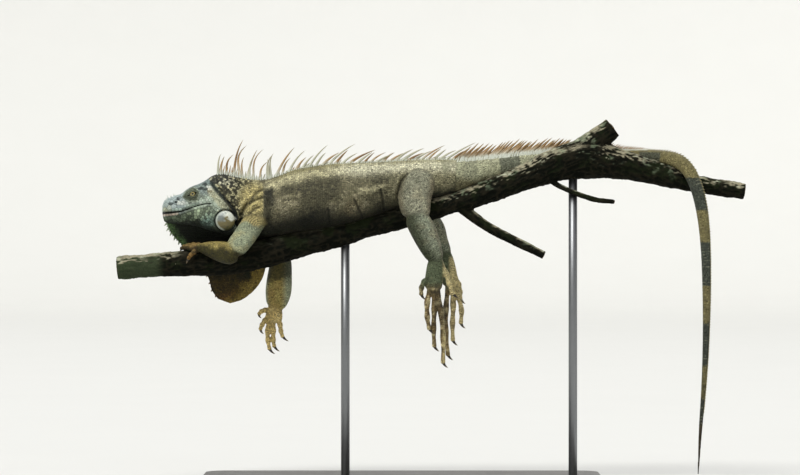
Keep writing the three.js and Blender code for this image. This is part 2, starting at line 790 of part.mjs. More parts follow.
// Feet: a flat palm or sole, and digits as lists of knuckles [x, y, z], each with a claw of length nail.
const feet = {
  left_hand: {
    palm: [
      [-297, -37, 353, 5, 5],
      [-304, -33, 353.5, 8, 6],
      [-312, -28, 353.5, 9, 5],
      [-317, -26, 352.5, 5, 3.5],
    ],
    up: vec(0, -0.5, 1),
    digit: 3.7,
    claw: vec(-0.3, 0.2, -1),
    nail: 10,
    digits: [
      [[-303, -35, 350], [-309.5, -38.2, 346], [-314.5, -38.2, 341.5], [-318, -37.4, 336.5]],
      [[-309, -31, 353], [-319, -26, 353.6], [-326, -19, 353.4], [-330, -11, 351.4]],
      [[-310, -27, 354.5], [-318, -17, 355.8], [-323.5, -7, 354.2], [-325, 0.5, 348.5]],
      [[-307, -26, 355], [-312, -15, 357], [-315.5, -4.5, 355.2], [-316.5, 2.5, 349.5]],
      [[-303, -29, 354.5], [-304, -17, 356.6], [-305, -7, 356.4], [-305.5, 0.5, 352.6]],
    ],
  },
  right_hand: {
    palm: [
      [-191, 41, 263, 10, 7],
      [-193, 40.5, 253, 12.5, 6],
      [-194, 40.5, 244, 12.5, 5],
      [-194.5, 40.5, 239, 8, 3.5],
    ],
    up: vec(0, -1, 0),
    digit: 3.9,
    claw: vec(1, 0, -0.25),
    nail: 14,
    digits: [
      [[-200, 39, 259], [-207, 37, 258], [-212.5, 35, 256], [-216, 34, 252]],
      [[-202, 40, 249], [-207.5, 38, 242], [-211.5, 36, 235.5], [-214, 34.5, 229]],
      [[-200.5, 40, 244], [-203, 39, 227], [-202.5, 37, 212], [-200, 34.5, 199]],
      [[-194.5, 40.5, 243], [-194.5, 40.5, 227], [-194.5, 39.5, 213], [-193, 38, 203]],
      [[-187, 41, 248], [-184.5, 41.5, 236], [-183, 41, 226], [-180.5, 40, 218]],
    ],
  },
  left_foot: {
    palm: [
      [50, -42.5, 338, 9.5, 8],
      [50, -43, 327, 12.5, 8.5],
      [48, -44, 309, 13.5, 6.5],
      [46.5, -45, 294, 12.5, 5],
      [46, -45, 289, 7, 3.5],
    ],
    up: vec(0, -1, 0),
    digit: 4.2,
    claw: vec(1, 0.2, -0.3),
    nail: 14,
    digits: [
      [[40, -44, 308], [33, -47, 302], [29, -49, 293], [28.5, -49, 283]],
      [[42, -45, 294], [37.5, -50, 272], [37.5, -52.5, 250], [40.5, -51, 232]],
      [[47, -46, 292], [48, -46, 262], [47, -45, 233], [48, -44, 206]],
      [[52, -46, 292], [58, -51, 256], [61, -52, 218], [61, -50, 182]],
      [[58, -43, 328], [65.5, -46, 314], [70, -48, 299], [76, -48, 284]],
    ],
  },
  right_foot: {
    palm: [
      [66, 42, 345, 7.5, 7.5],
      [68.5, 42, 333, 10, 8],
      [71, 43, 314, 12, 6.5],
      [73, 43.5, 299, 11.5, 5],
      [73.5, 43.5, 294, 7, 3.5],
    ],
    up: vec(0, 1, 0),
    digit: 4.2,
    claw: vec(1, -0.2, -0.3),
    nail: 14,
    digits: [
      [[80, 43.5, 308], [85.5, 46.5, 297], [88, 49, 285], [88.5, 49, 275]],
      [[80.5, 43.5, 298], [86, 43, 278], [90, 43, 257], [89, 42, 238]],
      [[75.5, 44, 297], [77.5, 46, 266], [76.5, 47, 238], [77, 46, 212]],
      [[70, 44, 297], [66.5, 42, 260], [66.5, 42, 226], [69.5, 41, 190]],
      [[64, 43.5, 318], [55.5, 46, 304], [51, 47, 288], [50, 46, 275]],
    ],
  },
};

// How thick a digit is at each knuckle, as a share of its radius.
const KNUCKLES = [1, 1.05, 0.95, 0.72];

function digitSolid(knuckles, radius, clawBend, nail) {
  const rows = knuckles.map((p, i) => [...p, radius * KNUCKLES[i], radius * KNUCKLES[i]]);
  const tip = vec(...knuckles[3]);
  const heading = tip.clone().sub(vec(...knuckles[2])).normalize();
  const across = Math.abs(heading.y) > 0.8 ? vec(1, 0, 0) : vec(0, 1, 0);
  const claw = thorn({
    root: tip.clone().addScaledVector(heading, -CLAW.rootDepth),
    along: heading,
    bend: clawBend.clone().normalize().multiplyScalar(CLAW.hook).addScaledVector(heading, -CLAW.drop),
    length: nail,
    broad: radius * CLAW.broad,
    thick: radius * CLAW.thick,
    across,
  });
  return [tube(rows, { sides: 7, steps: 1, up: vec(0.4, -1, 0.2) }), claw];
}

function footSolid({ palm, up, digit, claw, nail, digits }) {
  const sole = tube(palm, { sides: 9, steps: 1, up });
  return fuse([sole, ...digits.flatMap((knuckles) => digitSolid(knuckles, digit, claw, nail))]);
}

// Every limb is cut clear of what it grows from, of the branch, and of the length above it.
const clearLimb = Object.fromEntries(Object.keys(limbRows).map((name) => [name, limb(name, GAP)]));
const limbs = {};
for (const side of ["left", "right"]) {
  const [upper, lower] = [`${side}_upper_arm`, `${side}_forearm`];
  const [thigh, shank] = [`${side}_thigh`, `${side}_shank`];
  limbs[upper] = carve(limb(upper), [trunkClear, branchClear]);
  limbs[lower] = carve(limb(lower), [clearLimb[upper], branchClear]);
  limbs[`${side}_hand`] = carve(footSolid(feet[`${side}_hand`]), [clearLimb[lower], branchClear]);
  limbs[thigh] = carve(limb(thigh), [trunkClear, branchClear]);
  limbs[shank] = carve(limb(shank), [clearLimb[thigh], branchClear]);
  limbs[`${side}_foot`] = carve(footSolid(feet[`${side}_foot`]), [clearLimb[shank], branchClear]);
}

// Head, neck, torso and tail, each with its part of the crest fused to it.
const draw = randomDraws(CREST.seed);
const trunkPieces = {
  neck: fuse([trunk(0, SHOULDER_CUT), ...trunkCrest(0, SHOULDER_CUT, draw)]),
  torso_front: fuse([
    trunk(SHOULDER_CUT, WAIST_CUT, 0, GAP),
    ...trunkCrest(SHOULDER_CUT, WAIST_CUT, draw),
  ]),
  torso_rear: fuse([trunk(WAIST_CUT, TRUNK_END, 0, GAP), ...trunkCrest(WAIST_CUT, TRUNK_END, draw)]),
};
for (const name of Object.keys(trunkPieces)) trunkPieces[name] = carve(trunkPieces[name], [branchClear]);

const tailPieces = {};
for (let index = 0; index + 1 < TAIL_CUTS.length; index++) {
  const from = Math.max(1.2, TAIL_CUTS[index] + 0.12);
  const spines = index < 4 ? tailCrest(from, TAIL_CUTS[index + 1] - 0.15, draw) : [];
  tailPieces[`tail_${index + 1}`] = carve(fuse([tailPiece(index), ...spines]), [branchClear]);
}

const eyes = {};
for (const [name, side] of [["eye_left", -1], ["eye_right", 1]])
  eyes[name] = ellipsoid([EYE.x, side * EYE.y, EYE.z], Array(3).fill(EYE.radius), [0, 0, 0], EYE.detail);

const clearOfDewlap = [headBlock(GAP, false), trunkClear, branchClear, clearLimb.right_upper_arm];
const soft = { head: headSolid(), dewlap: carve(fuse([dewlapSheet(), ...dewlapSpikes()]), clearOfDewlap) };

// Plain colours for each kind of surface.
const finishes = {
  stand: { color: 0x2b2a28, roughness: 0.5, metalness: 0.1 },
  rod: { color: 0x8b8d90, roughness: 0.35, metalness: 0.9 },
  perch: { color: 0x4c443a, roughness: 0.95, metalness: 0 },
  eye: { color: 0x6b5020, roughness: 0.1, metalness: 0 },
  head: { color: 0x9aa396, roughness: 0.7, metalness: 0 },
  skin: { color: 0x8a8468, roughness: 0.75, metalness: 0 },
  tail: { color: 0x5f5648, roughness: 0.75, metalness: 0 },
  foot: { color: 0x8b6a3c, roughness: 0.75, metalness: 0 },
};
const finishOf = (name) => {
  if (name === "stand_base") return finishes.stand;
  if (name.startsWith("stand_rod")) return finishes.rod;
  if (name.startsWith("perch_")) return finishes.perch;
  if (name.startsWith("eye_")) return finishes.eye;
  if (name === "head") return finishes.head;
  if (name.startsWith("tail_")) return finishes.tail;
  if (name.endsWith("_hand") || name.endsWith("_foot")) return finishes.foot;
  return finishes.skin;
};

function meshOf(name, solid) {
  const made = solid.getMesh();
  const positions = new Float32Array(made.numVert * 3);
  for (let i = 0; i < made.numVert; i++)
    positions.set(made.vertProperties.subarray(i * made.numProp, i * made.numProp + 3), i * 3);
  const geometry = new THREE.BufferGeometry();
  geometry.setAttribute("position", new THREE.BufferAttribute(positions, 3));
  geometry.setIndex(new THREE.BufferAttribute(made.triVerts, 1));
  geometry.computeVertexNormals();
  const mesh = new THREE.Mesh(geometry, new THREE.MeshStandardMaterial(finishOf(name)));
  mesh.name = name;
  return mesh;
}

const iguana = new THREE.Group();
const solids = { ...stand, ...perch, ...soft, ...eyes, ...trunkPieces, ...tailPieces, ...limbs };
for (const [name, solid] of Object.entries(solids)) iguana.add(meshOf(name, solid));

export default iguana;
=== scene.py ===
"""A green iguana draped along a cut length of branch, on a plain display stand.

Lengths are in millimetres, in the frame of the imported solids: +Z is up, the animal faces -X and
its left side faces -Y. MM turns them into Blender's metres.
"""

import math
from itertools import product

import bmesh
import bpy
import numpy as np
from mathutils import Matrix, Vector, kdtree


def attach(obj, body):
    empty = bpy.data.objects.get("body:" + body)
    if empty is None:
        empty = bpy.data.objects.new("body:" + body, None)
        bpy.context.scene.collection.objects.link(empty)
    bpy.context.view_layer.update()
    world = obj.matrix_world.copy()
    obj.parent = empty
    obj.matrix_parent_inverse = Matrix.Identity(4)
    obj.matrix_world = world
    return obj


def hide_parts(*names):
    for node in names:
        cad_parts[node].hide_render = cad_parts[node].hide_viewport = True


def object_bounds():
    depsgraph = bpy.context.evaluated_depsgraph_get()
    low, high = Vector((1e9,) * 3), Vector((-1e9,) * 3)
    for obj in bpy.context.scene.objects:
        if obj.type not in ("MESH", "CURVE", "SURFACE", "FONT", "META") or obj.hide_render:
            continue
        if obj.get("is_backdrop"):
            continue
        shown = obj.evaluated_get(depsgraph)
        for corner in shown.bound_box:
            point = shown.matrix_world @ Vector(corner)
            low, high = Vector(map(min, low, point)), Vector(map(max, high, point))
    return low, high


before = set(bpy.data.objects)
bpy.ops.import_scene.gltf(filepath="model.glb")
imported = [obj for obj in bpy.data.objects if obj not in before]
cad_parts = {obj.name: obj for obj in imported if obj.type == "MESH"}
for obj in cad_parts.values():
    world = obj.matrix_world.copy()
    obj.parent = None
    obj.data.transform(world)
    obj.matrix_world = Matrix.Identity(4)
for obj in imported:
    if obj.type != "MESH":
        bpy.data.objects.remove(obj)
cad_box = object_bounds()

MM = 0.001
SKIN_VOXEL = 1.05
BARK_VOXEL = 1.5
BASE = {"length": 600, "width": 240, "thickness": 10, "corner": 30, "edge": 1.5}
ROD = {"radius": 6.5, "x": {"fore": -85, "rear": 256}}
EYE = {"x": -314.5, "y": 16.3, "z": 432.4, "radius": 7.2, "slope": -0.33}
SIDES = {"left": -1, "right": 1}
WHORL, SCUTE = 4.6, 3.1  # lengths of the tail's rings and of the digits' scales
CREST = {"spacing": 9.4, "root": 4, "broad": 2.5, "thick": 1.05, "start": 7.5, "end": 5.5, "seed": 20}


# Numbers, noise and curves


def lerp(a, b, t):
    return a + (b - a) * t


def smooth(t):
    t = np.clip(t, 0, 1)
    return t * t * (3 - 2 * t)


def rise(value, start, over):
    """From 0 at the start to 1 when the value has grown by over."""
    return smooth((value - start) / over)


def fall(value, start, over):
    """From 0 at the start to 1 when the value has shrunk by over."""
    return smooth((start - value) / over)


def bump(value, middle, reach):
    return np.exp(-(((value - middle) / reach) ** 2))


def unit(v):
    v = np.asarray(v, float)
    return v / np.maximum(np.linalg.norm(v, axis=-1, keepdims=True), 1e-9)


def circle(sides):
    """Angles spaced evenly round a circle."""
    return np.linspace(0, 2 * np.pi, sides, endpoint=False)


def hashed(cells, seed):
    """A repeatable value from 0 to 1 for each whole-number cell."""
    n = cells[..., 0] * 73856093 ^ cells[..., 1] * 19349663 ^ cells[..., 2] * 83492791 ^ seed * 265443
    n = ((n ^ (n >> 13)) * 1274126177) & 0xFFFFFFFF
    n = ((n ^ (n >> 16)) * 1911520717) & 0xFFFFFFFF
    return ((n ^ (n >> 15)) & 0xFFFFFF) / 0xFFFFFF


def noise(points, size, seed=0):
    """Smooth noise from -1 to 1 whose patches are about size across, which may differ by axis."""
    p = np.asarray(points, float) / size
    cell = np.floor(p).astype(np.int64)
    f = smooth(p - cell)
    total = 0
    for corner in product((0, 1), repeat=3):
        weight = np.prod(np.where(corner, f, 1 - f), axis=-1)
        total = total + weight * hashed(cell + np.array(corner), seed)
    return 2 * total - 1


def fractal(points, size, seed=0, octaves=3):
    size = np.asarray(size, float)
    layers = [noise(points, size / 2**k, seed + 7 * k) * 0.5**k for k in range(octaves)]
    return sum(layers) / sum(0.5**k for k in range(octaves)) * 1.4


def curve(rows, t):
    """Rows on the Catmull-Rom curve through the given rows, at each t counted in rows."""
    rows = np.asarray(rows, float)
    last = len(rows) - 1
    t = np.atleast_1d(np.asarray(t, float))
    i = np.clip(np.floor(t).astype(int), 0, last - 1)
    f = (t - i)[:, None]
    b, c = rows[i], rows[i + 1]
    a = np.where((i > 0)[:, None], rows[np.maximum(i - 1, 0)], 2 * b - c)
    d = np.where((i + 2 <= last)[:, None], rows[np.minimum(i + 2, last)], 2 * c - b)
    return b + 0.5 * f * (c - a + f * (2 * a - 5 * b + 4 * c - d + f * (3 * (b - c) + d - a)))


def drawn(rows, count):
    """The whole curve through the rows, at so many places."""
    return curve(rows, np.linspace(0, len(rows) - 1, count))


def walk(points):
    """How far along a line each of its points is."""
    return np.concatenate([[0], np.cumsum(np.linalg.norm(np.diff(points, axis=0), axis=1))])


def read_off(rows, x, at=0, value=1):
    """What one column of the rows says where another column is x."""
    rows = np.asarray(rows, float)
    return np.interp(x, rows[:, at], rows[:, value])


def spaced(rows, step, columns=3):
    """Values of t evenly spaced along the curve, and how far along it each is."""
    dense = np.linspace(0, len(rows) - 1, (len(rows) - 1) * 40 + 1)
    walked = walk(curve(rows, dense)[:, :columns])
    count = max(2, int(round(walked[-1] / step)))
    run = np.linspace(0, walked[-1], count + 1)
    return np.interp(run, walked, dense), run


def carried(points, up):
    """Heading, top and side at each point of a line. The top turns as little as it can."""
    ahead = unit(np.gradient(points, axis=0))
    top = np.asarray(up, float)
    tops = []
    for heading in ahead:
        top = unit(top - heading * (top @ heading))
        tops.append(top)
    tops = np.array(tops)
    return ahead, tops, np.cross(ahead, tops)


class Draws:
    """The same seeded draws as the solids use, so that the long spines stand where theirs do."""

    def __init__(self, seed):
        self.state = seed

    def __call__(self, low, high):
        self.state = (self.state * 1664525 + 1013904223) % 4294967296
        return lerp(low, high, self.state / 4294967296)


# The branch: rows of x, y, z and radius


BRANCH = [
    (-426, -12, 322, 16.5), (-378, -12, 325.8, 17), (-318, -13, 329.5, 19.5), (-258, -12, 334.8, 21),
    (-205, -6, 344.5, 21), (-153, 0, 358.8, 20.3), (-108, 0, 370.3, 19.3), (-55, 0, 385.3, 18),
    (-3, 0, 399, 17.6), (57, 0, 414.3, 15), (102, -3, 427, 16.7), (147, -6, 444, 17.6),
    (192, -6, 461, 20.2), (237, -6, 478, 25.2), (282, -6, 485.5, 28.5), (327, -5, 478, 22.5),
    (364, -3, 469, 18), (399, -2, 460, 15.5), (432, -1, 450.3, 13), (470, 0, 443.5, 12),
    (514, 0, 437.5, 12),
]
FORK = [(250, -7, 482, 20), (284, -8, 507, 18), (316, -10, 532, 15)]
SIDE_BRANCH = [(88, -3, 413, 8.5), (130, -5, 383, 7.4), (168, -4, 363, 6.6), (213, -2, 341, 6.2)]
TWIG = [(210, -12, 462, 4.6), (237, -16, 444, 4), (282, -16, 426, 3.6), (318, -14, 421, 3.3)]

BRANCH_LINE = drawn(BRANCH, 900)


def branch_at(x):
    """The branch's y, z and radius above each x."""
    return [read_off(BRANCH_LINE, x, 0, k) for k in (1, 2, 3)]


# The animal's rows


# Head: top x and z, bottom x and z, share of the height below the mouth, and half widths at jaw,
# lip, temple and crown.
HEAD = [
    (-359.4, 415.8, -358.5, 398.5, 0.23, 5, 5.5, 5, 3),
    (-356.3, 422.8, -356.6, 392, 0.347, 10, 12, 11, 6),
    (-350.3, 426.5, -350.3, 389.5, 0.39, 14, 16.5, 14, 8),
    (-339.8, 430.5, -337.5, 388.5, 0.417, 17.5, 19, 15.5, 9.5),
    (-330, 434.2, -325.5, 387.5, 0.42, 20, 20.5, 17, 11),
    (-322.5, 440.2, -315, 386, 0.455, 22.5, 22, 19, 12.5),
    (-313.5, 445, -303, 383.5, 0.505, 25, 23.5, 20.5, 14),
    (-304.5, 448.3, -289.5, 379, 0.558, 29, 26, 22, 15),
    (-297, 452, -276, 375.3, 0.557, 33, 29, 24, 15.5),
    (-290.3, 456.5, -262.5, 373, 0.56, 35, 31, 25, 15.5),
    (-285, 460, -251.3, 373, 0.56, 33.5, 30, 24.5, 15),
    (-280.5, 461.5, -243.8, 375.3, 0.56, 28, 27, 23, 14),
]
# Trunk: top x and z, bottom x and z, half width.
TRUNK = [
    (-280.1, 461.3, -243.4, 375.6, 26.5), (-267, 462.6, -231, 370, 28), (-249, 458.5, -219, 367, 29),
    (-228, 455, -207, 366, 32), (-207, 454, -195, 367.3, 36), (-186, 459.3, -180, 370, 40),
    (-162, 468.3, -159, 374, 43), (-135, 473.5, -135, 377, 45), (-105, 477.3, -106.5, 381, 46),
    (-75, 478.6, -78, 387, 45), (-45, 480, -49.5, 395, 41), (-15, 481.6, -21, 405, 35),
    (12, 483.3, 7.5, 415.5, 30), (39, 484, 36, 423.8, 27), (60, 484.3, 58.5, 428.5, 24.5),
    (81, 483.8, 79.5, 434.8, 22.5),
]
SHOULDER_ROW, WAIST_ROW = 4, 9
# Tail: x, y, z, half width, half height.
TAIL = [
    (60, 0, 457.6, 24, 26.3), (81, 3, 460.3, 22.4, 24.4), (105, 8, 464.2, 19.8, 21.8),
    (147, 20.5, 471, 17, 19.2), (192, 28, 477.7, 15, 17.2), (237, 34.5, 483.4, 13.3, 15.3),
    (282, 38.5, 486.3, 12, 13.8), (321, 33.5, 487, 11.2, 12.8), (357, 22.5, 488, 10.6, 12),
    (381, 11.5, 487.5, 10.2, 11.5), (400.5, 0, 485.5, 10, 11.2), (415.5, -11.5, 480.3, 9.7, 10.8),
    (427, -20.5, 469, 9.4, 10.2), (435.5, -25.5, 452.5, 9.1, 9.8), (443.5, -25.5, 428.5, 8.8, 9.4),
    (450, -22, 394, 8.1, 8.6), (454, -18, 349, 7.1, 7.5), (455.6, -14.5, 296.5, 6.2, 6.6),
    (455.6, -12, 244, 5.3, 5.6), (454, -10, 184, 4.3, 4.6), (451, -9, 131.5, 3.4, 3.6),
    (447, -8, 79, 2.4, 2.6), (443.5, -7.5, 13, 0.8, 0.9),
]
DEWLAP_FRONT = [
    (-352, 402), (-353, 391), (-349.5, 379), (-342, 368), (-331.5, 356.5), (-318, 340), (-303, 323.5),
    (-291.5, 307), (-286.5, 289), (-277.5, 275.5),
]
DEWLAP_REAR = [
    (-225, 392), (-216, 383), (-208, 372), (-203, 358), (-203, 341), (-206.5, 318), (-213, 301),
    (-225, 286), (-241, 274), (-259, 268.5),
]
DEWLAP = {"thickness": 4.4, "edge": 2, "clearance": 9, "throat": 392, "spikes": 13}
LIMBS = {
    "left_upper_arm": [
        (-214, -24, 398, 12, 15), (-222, -33, 388, 14, 18), (-235, -44, 368, 14, 18.5),
        (-247, -50, 352, 13, 16.5), (-253, -51.5, 344, 7, 9),
    ],
    "left_forearm": [
        (-243, -51, 341, 7, 9), (-252, -51, 343, 12, 15.5), (-268, -48, 346.5, 12.5, 15.5),
        (-286, -42, 350.5, 10, 11.5), (-299, -37.5, 352.5, 7, 7), (-304, -35.5, 353, 5, 5),
    ],
    "right_upper_arm": [
        (-207, 24, 398, 12, 15), (-205, 33, 388, 14, 17), (-196, 42, 366, 14, 16.5),
        (-187, 47, 344, 13, 15), (-184, 48, 335, 7, 8),
    ],
    "right_forearm": [
        (-184, 48, 343, 7, 8), (-183, 48, 334, 12, 15), (-185, 46, 310, 12.5, 18.5),
        (-187, 44, 286, 12, 19.5), (-189.5, 42, 269, 10, 16), (-191, 41, 261, 7, 11),
    ],
    "left_thigh": [
        (26, -8, 462, 14, 18), (24, -18, 450, 20, 25), (19, -33, 426, 21, 25),
        (21, -46, 404, 16, 20.5), (19.5, -49, 393, 9, 13),
    ],
    "left_shank": [
        (16, -50, 405, 8, 11), (22, -50, 395, 14, 17.5), (32.5, -48.5, 376, 15, 19),
        (41, -46, 357, 13, 17), (48, -44, 341, 10.5, 13.5), (50, -43, 334, 7.5, 10),
    ],
    "right_thigh": [
        (30, 8, 462, 14, 18), (30, 18, 450, 20, 24), (30, 33, 428, 20, 23), (33, 45, 409, 15, 18),
        (34, 48, 399, 9, 11),
    ],
    "right_shank": [
        (29, 49, 409, 8, 10), (34, 49, 400, 13.5, 16), (48, 47, 382, 14, 16.5),
        (57, 44.5, 362, 11.5, 13), (64, 43, 347, 9, 10.5), (66.5, 42, 341, 7, 8),
    ],
}
# Feet: a palm or sole, and digits as knuckles, from the thumb on.
FEET = {
    "left_hand": {
        "palm": [
            (-297, -37, 353, 5, 5), (-304, -33, 353.5, 8, 6), (-312, -28, 353.5, 9, 5),
            (-317, -26, 352.5, 5, 3.5),
        ],
        "up": (0, -0.5, 1), "digit": 3.7, "claw": (-0.3, 0.2, -1), "nail": 10,
        "digits": [
            [(-303, -35, 350), (-309.5, -38.2, 346), (-314.5, -38.2, 341.5), (-318, -37.4, 336.5)],
            [(-309, -31, 353), (-319, -26, 353.6), (-326, -19, 353.4), (-330, -11, 351.4)],
            [(-310, -27, 354.5), (-318, -17, 355.8), (-323.5, -7, 354.2), (-325, 0.5, 348.5)],
            [(-307, -26, 355), (-312, -15, 357), (-315.5, -4.5, 355.2), (-316.5, 2.5, 349.5)],
            [(-303, -29, 354.5), (-304, -17, 356.6), (-305, -7, 356.4), (-305.5, 0.5, 352.6)],
        ],
    },
    "right_hand": {
        "palm": [
            (-191, 41, 263, 10, 7), (-193, 40.5, 253, 12.5, 6), (-194, 40.5, 244, 12.5, 5),
            (-194.5, 40.5, 239, 8, 3.5),
        ],
        "up": (0, -1, 0), "digit": 3.9, "claw": (1, 0, -0.25), "nail": 14,
        "digits": [
            [(-200, 39, 259), (-207, 37, 258), (-212.5, 35, 256), (-216, 34, 252)],
            [(-202, 40, 249), (-207.5, 38, 242), (-211.5, 36, 235.5), (-214, 34.5, 229)],
            [(-200.5, 40, 244), (-203, 39, 227), (-202.5, 37, 212), (-200, 34.5, 199)],
            [(-194.5, 40.5, 243), (-194.5, 40.5, 227), (-194.5, 39.5, 213), (-193, 38, 203)],
            [(-187, 41, 248), (-184.5, 41.5, 236), (-183, 41, 226), (-180.5, 40, 218)],
        ],
    },
    "left_foot": {
        "palm": [
            (50, -42.5, 338, 9.5, 8), (50, -43, 327, 12.5, 8.5), (48, -44, 309, 13.5, 6.5),
            (46.5, -45, 294, 12.5, 5), (46, -45, 289, 7, 3.5),
        ],
        "up": (0, -1, 0), "digit": 4.2, "claw": (1, 0.2, -0.3), "nail": 14,
        "digits": [
            [(40, -44, 308), (33, -47, 302), (29, -49, 293), (28.5, -49, 283)],
            [(42, -45, 294), (37.5, -50, 272), (37.5, -52.5, 250), (40.5, -51, 232)],
            [(47, -46, 292), (48, -46, 262), (47, -45, 233), (48, -44, 206)],
            [(52, -46, 292), (58, -51, 256), (61, -52, 218), (61, -50, 182)],
            [(58, -43, 328), (65.5, -46, 314), (70, -48, 299), (76, -48, 284)],
        ],
    },
    "right_foot": {
        "palm": [
            (66, 42, 345, 7.5, 7.5), (68.5, 42, 333, 10, 8), (71, 43, 314, 12, 6.5),
            (73, 43.5, 299, 11.5, 5), (73.5, 43.5, 294, 7, 3.5),
        ],
        "up": (0, 1, 0), "digit": 4.2, "claw": (1, -0.2, -0.3), "nail": 14,
        "digits": [
            [(80, 43.5, 308), (85.5, 46.5, 297), (88, 49, 285), (88.5, 49, 275)],
            [(80.5, 43.5, 298), (86, 43, 278), (90, 43, 257), (89, 42, 238)],
            [(75.5, 44, 297), (77.5, 46, 266), (76.5, 47, 238), (77, 46, 212)],
            [(70, 44, 297), (66.5, 42, 260), (66.5, 42, 226), (69.5, 41, 190)],
            [(64, 43.5, 318), (55.5, 46, 304), (51, 47, 288), (50, 46, 275)],
        ],
    },
}


# Meshes


def linked(name, data):
    ob = bpy.data.objects.new(name, data)
    bpy.context.scene.collection.objects.link(ob)
    return ob


def softly_shaded(name, mesh):
    mesh.polygons.foreach_set("use_smooth", [True] * len(mesh.polygons))
    return linked(name, mesh)


def object_from(name, points, faces):
    """A mesh object from points in millimetres."""
    mesh = bpy.data.meshes.new(name)
    mesh.from_pydata((np.asarray(points) * MM).tolist(), [], [list(map(int, f)) for f in faces])
    mesh.update()
    return softly_shaded(name, mesh)


def grid_faces(count, sides, first=0):
    """The quads between rings of points that follow one another."""
    i, k = (x.ravel() for x in np.meshgrid(np.arange(count - 1), np.arange(sides), indexing="ij"))
    nxt = (k + 1) % sides
    return first + np.stack([i * sides + k, i * sides + nxt, (i + 1) * sides + nxt, (i + 1) * sides + k], 1)


class Flesh:
    """Closed ring surfaces, each point with its part, how far along and how far round it lies."""

    def __init__(self):
        self.columns = [[] for _ in range(6)]
        self.faces, self.total = [], 0

    def add(self, rings, part, run=None):
        rings = np.asarray(rings, float)
        count, sides = rings.shape[:2]
        run = np.arange(count) * 2.0 if run is None else np.asarray(run)
        steps = np.linalg.norm(np.roll(rings, -1, 1) - rings, axis=2)
        arc = np.concatenate([np.zeros((count, 1)), np.cumsum(steps, 1)[:, :-1]], 1)
        whole = steps.sum(1, keepdims=True)
        arc = np.where(arc > whole / 2, arc - whole, arc)
        first, size = self.total, count * sides + 2
        self.faces += grid_faces(count, sides, first).tolist()
        hub, end = first + count * sides, first + (count - 1) * sides
        for k in range(sides):
            n = (k + 1) % sides
            self.faces += [[hub, first + n, first + k], [hub + 1, end + k, end + n]]
        along = unit(np.gradient(rings, axis=0)).reshape(-1, 3)
        across = unit(np.roll(rings, -1, 1) - np.roll(rings, 1, 1)).reshape(-1, 3)
        new = (
            np.vstack([rings.reshape(-1, 3), rings[[0, -1]].mean(1)]),
            np.full(size, part),
            np.append(np.repeat(run, sides), [run[0], run[-1]]),
            np.append(arc.ravel(), [0, 0]),
            np.vstack([along, np.zeros((2, 3))]),
            np.vstack([across, np.zeros((2, 3))]),
        )
        for column, values in zip(self.columns, new):
            column.append(values)
        self.total += size

    def under(self, p):
        """The part, run, arc and heading of the surface that each point lies on."""
        points, part, run, around, along, across = map(np.concatenate, self.columns)
        tree = tree_of(points)
        near = np.array([tree.find(q)[1] for q in p.tolist()])
        off = p - points[near]
        return {
            "part": part[near],
            "run": run[near] + (off * along[near]).sum(1),
            "around": around[near] + (off * across[near]).sum(1),
            "along": along[near],
        }


def tube_rings(rows, step, sides, up=(0, 0, 1)):
    t, run = spaced(rows, step)
    values = curve(rows, t)
    _, top, side = carried(values[:, :3], up)
    angle = circle(sides)
    wide = side[:, None] * np.sin(angle)[None, :, None] * values[:, 3][:, None, None]
    high = top[:, None] * np.cos(angle)[None, :, None] * values[:, -1][:, None, None]
    return values[:, :3][:, None] + wide + high, run


def ball_rings(centre, radii, turn=(0, 0, 0), sides=24):
    """Rings of an ellipsoid about the x axis, turned by angles about x, y and z."""
    lat, lon = np.linspace(0.04, np.pi - 0.04, sides // 2)[:, None], circle(sides)
    x, wide = -np.cos(lat) * np.ones(sides), np.sin(lat)
    points = np.stack([x, wide * np.sin(lon), wide * np.cos(lon)], 2)
    return points * np.asarray(radii, float) @ turned(turn).T + np.asarray(centre, float)


def turned(angles):
    a, b, c = angles
    rx = np.array([[1, 0, 0], [0, math.cos(a), -math.sin(a)], [0, math.sin(a), math.cos(a)]])
    ry = np.array([[math.cos(b), 0, math.sin(b)], [0, 1, 0], [-math.sin(b), 0, math.cos(b)]])
    rz = np.array([[math.cos(c), -math.sin(c), 0], [math.sin(c), math.cos(c), 0], [0, 0, 1]])
    return rx @ ry @ rz


def remeshed(name, flesh, voxel):
    """One even skin round all the flesh, as a new mesh."""
    ob = object_from(name + "_source", np.concatenate(flesh.columns[0]), flesh.faces)
    mod = ob.modifiers.new("remesh", "REMESH")
    mod.mode = "VOXEL"
    mod.voxel_size = voxel * MM
    graph = bpy.context.evaluated_depsgraph_get()
    mesh = bpy.data.meshes.new_from_object(ob.evaluated_get(graph))
    bpy.data.objects.remove(ob)
    mesh.name = name
    return mesh


def read(items, key, width, kind=np.float32):
    """One property of every vertex or edge, as rows."""
    flat = np.zeros(len(items) * width, kind)
    items.foreach_get(key, flat)
    return flat.reshape(-1, width)


def points_of(mesh):
    return read(mesh.vertices, "co", 3).astype(float) / MM


def set_points(mesh, points):
    mesh.vertices.foreach_set("co", (points * MM).astype(np.float32).ravel())
    mesh.update()


def edges_of(mesh):
    return read(mesh.edges, "vertices", 2, np.int32)


def normals_of(mesh):
    return read(mesh.vertex_normals, "vector", 3).astype(float)


def averaged(values, edges, degree):
    flat = values.reshape(len(values), -1)
    a, b = edges.T
    n = len(flat)
    sums = [np.bincount(a, flat[b, k], n) + np.bincount(b, flat[a, k], n) for k in range(flat.shape[1])]
    return (np.stack(sums, 1) / degree[:, None]).reshape(values.shape)


def relaxed(values, edges, times, amount=0.5):
    """Values pulled towards their neighbours' mean, by an amount that may differ by vertex."""
    degree = np.maximum(np.bincount(edges.ravel(), minlength=len(values)), 1)
    amount = np.asarray(amount, float)
    if amount.ndim and values.ndim > 1:
        amount = amount[:, None]
    for _ in range(times):
        values = values + amount * (averaged(values, edges, degree) - values)
    return values


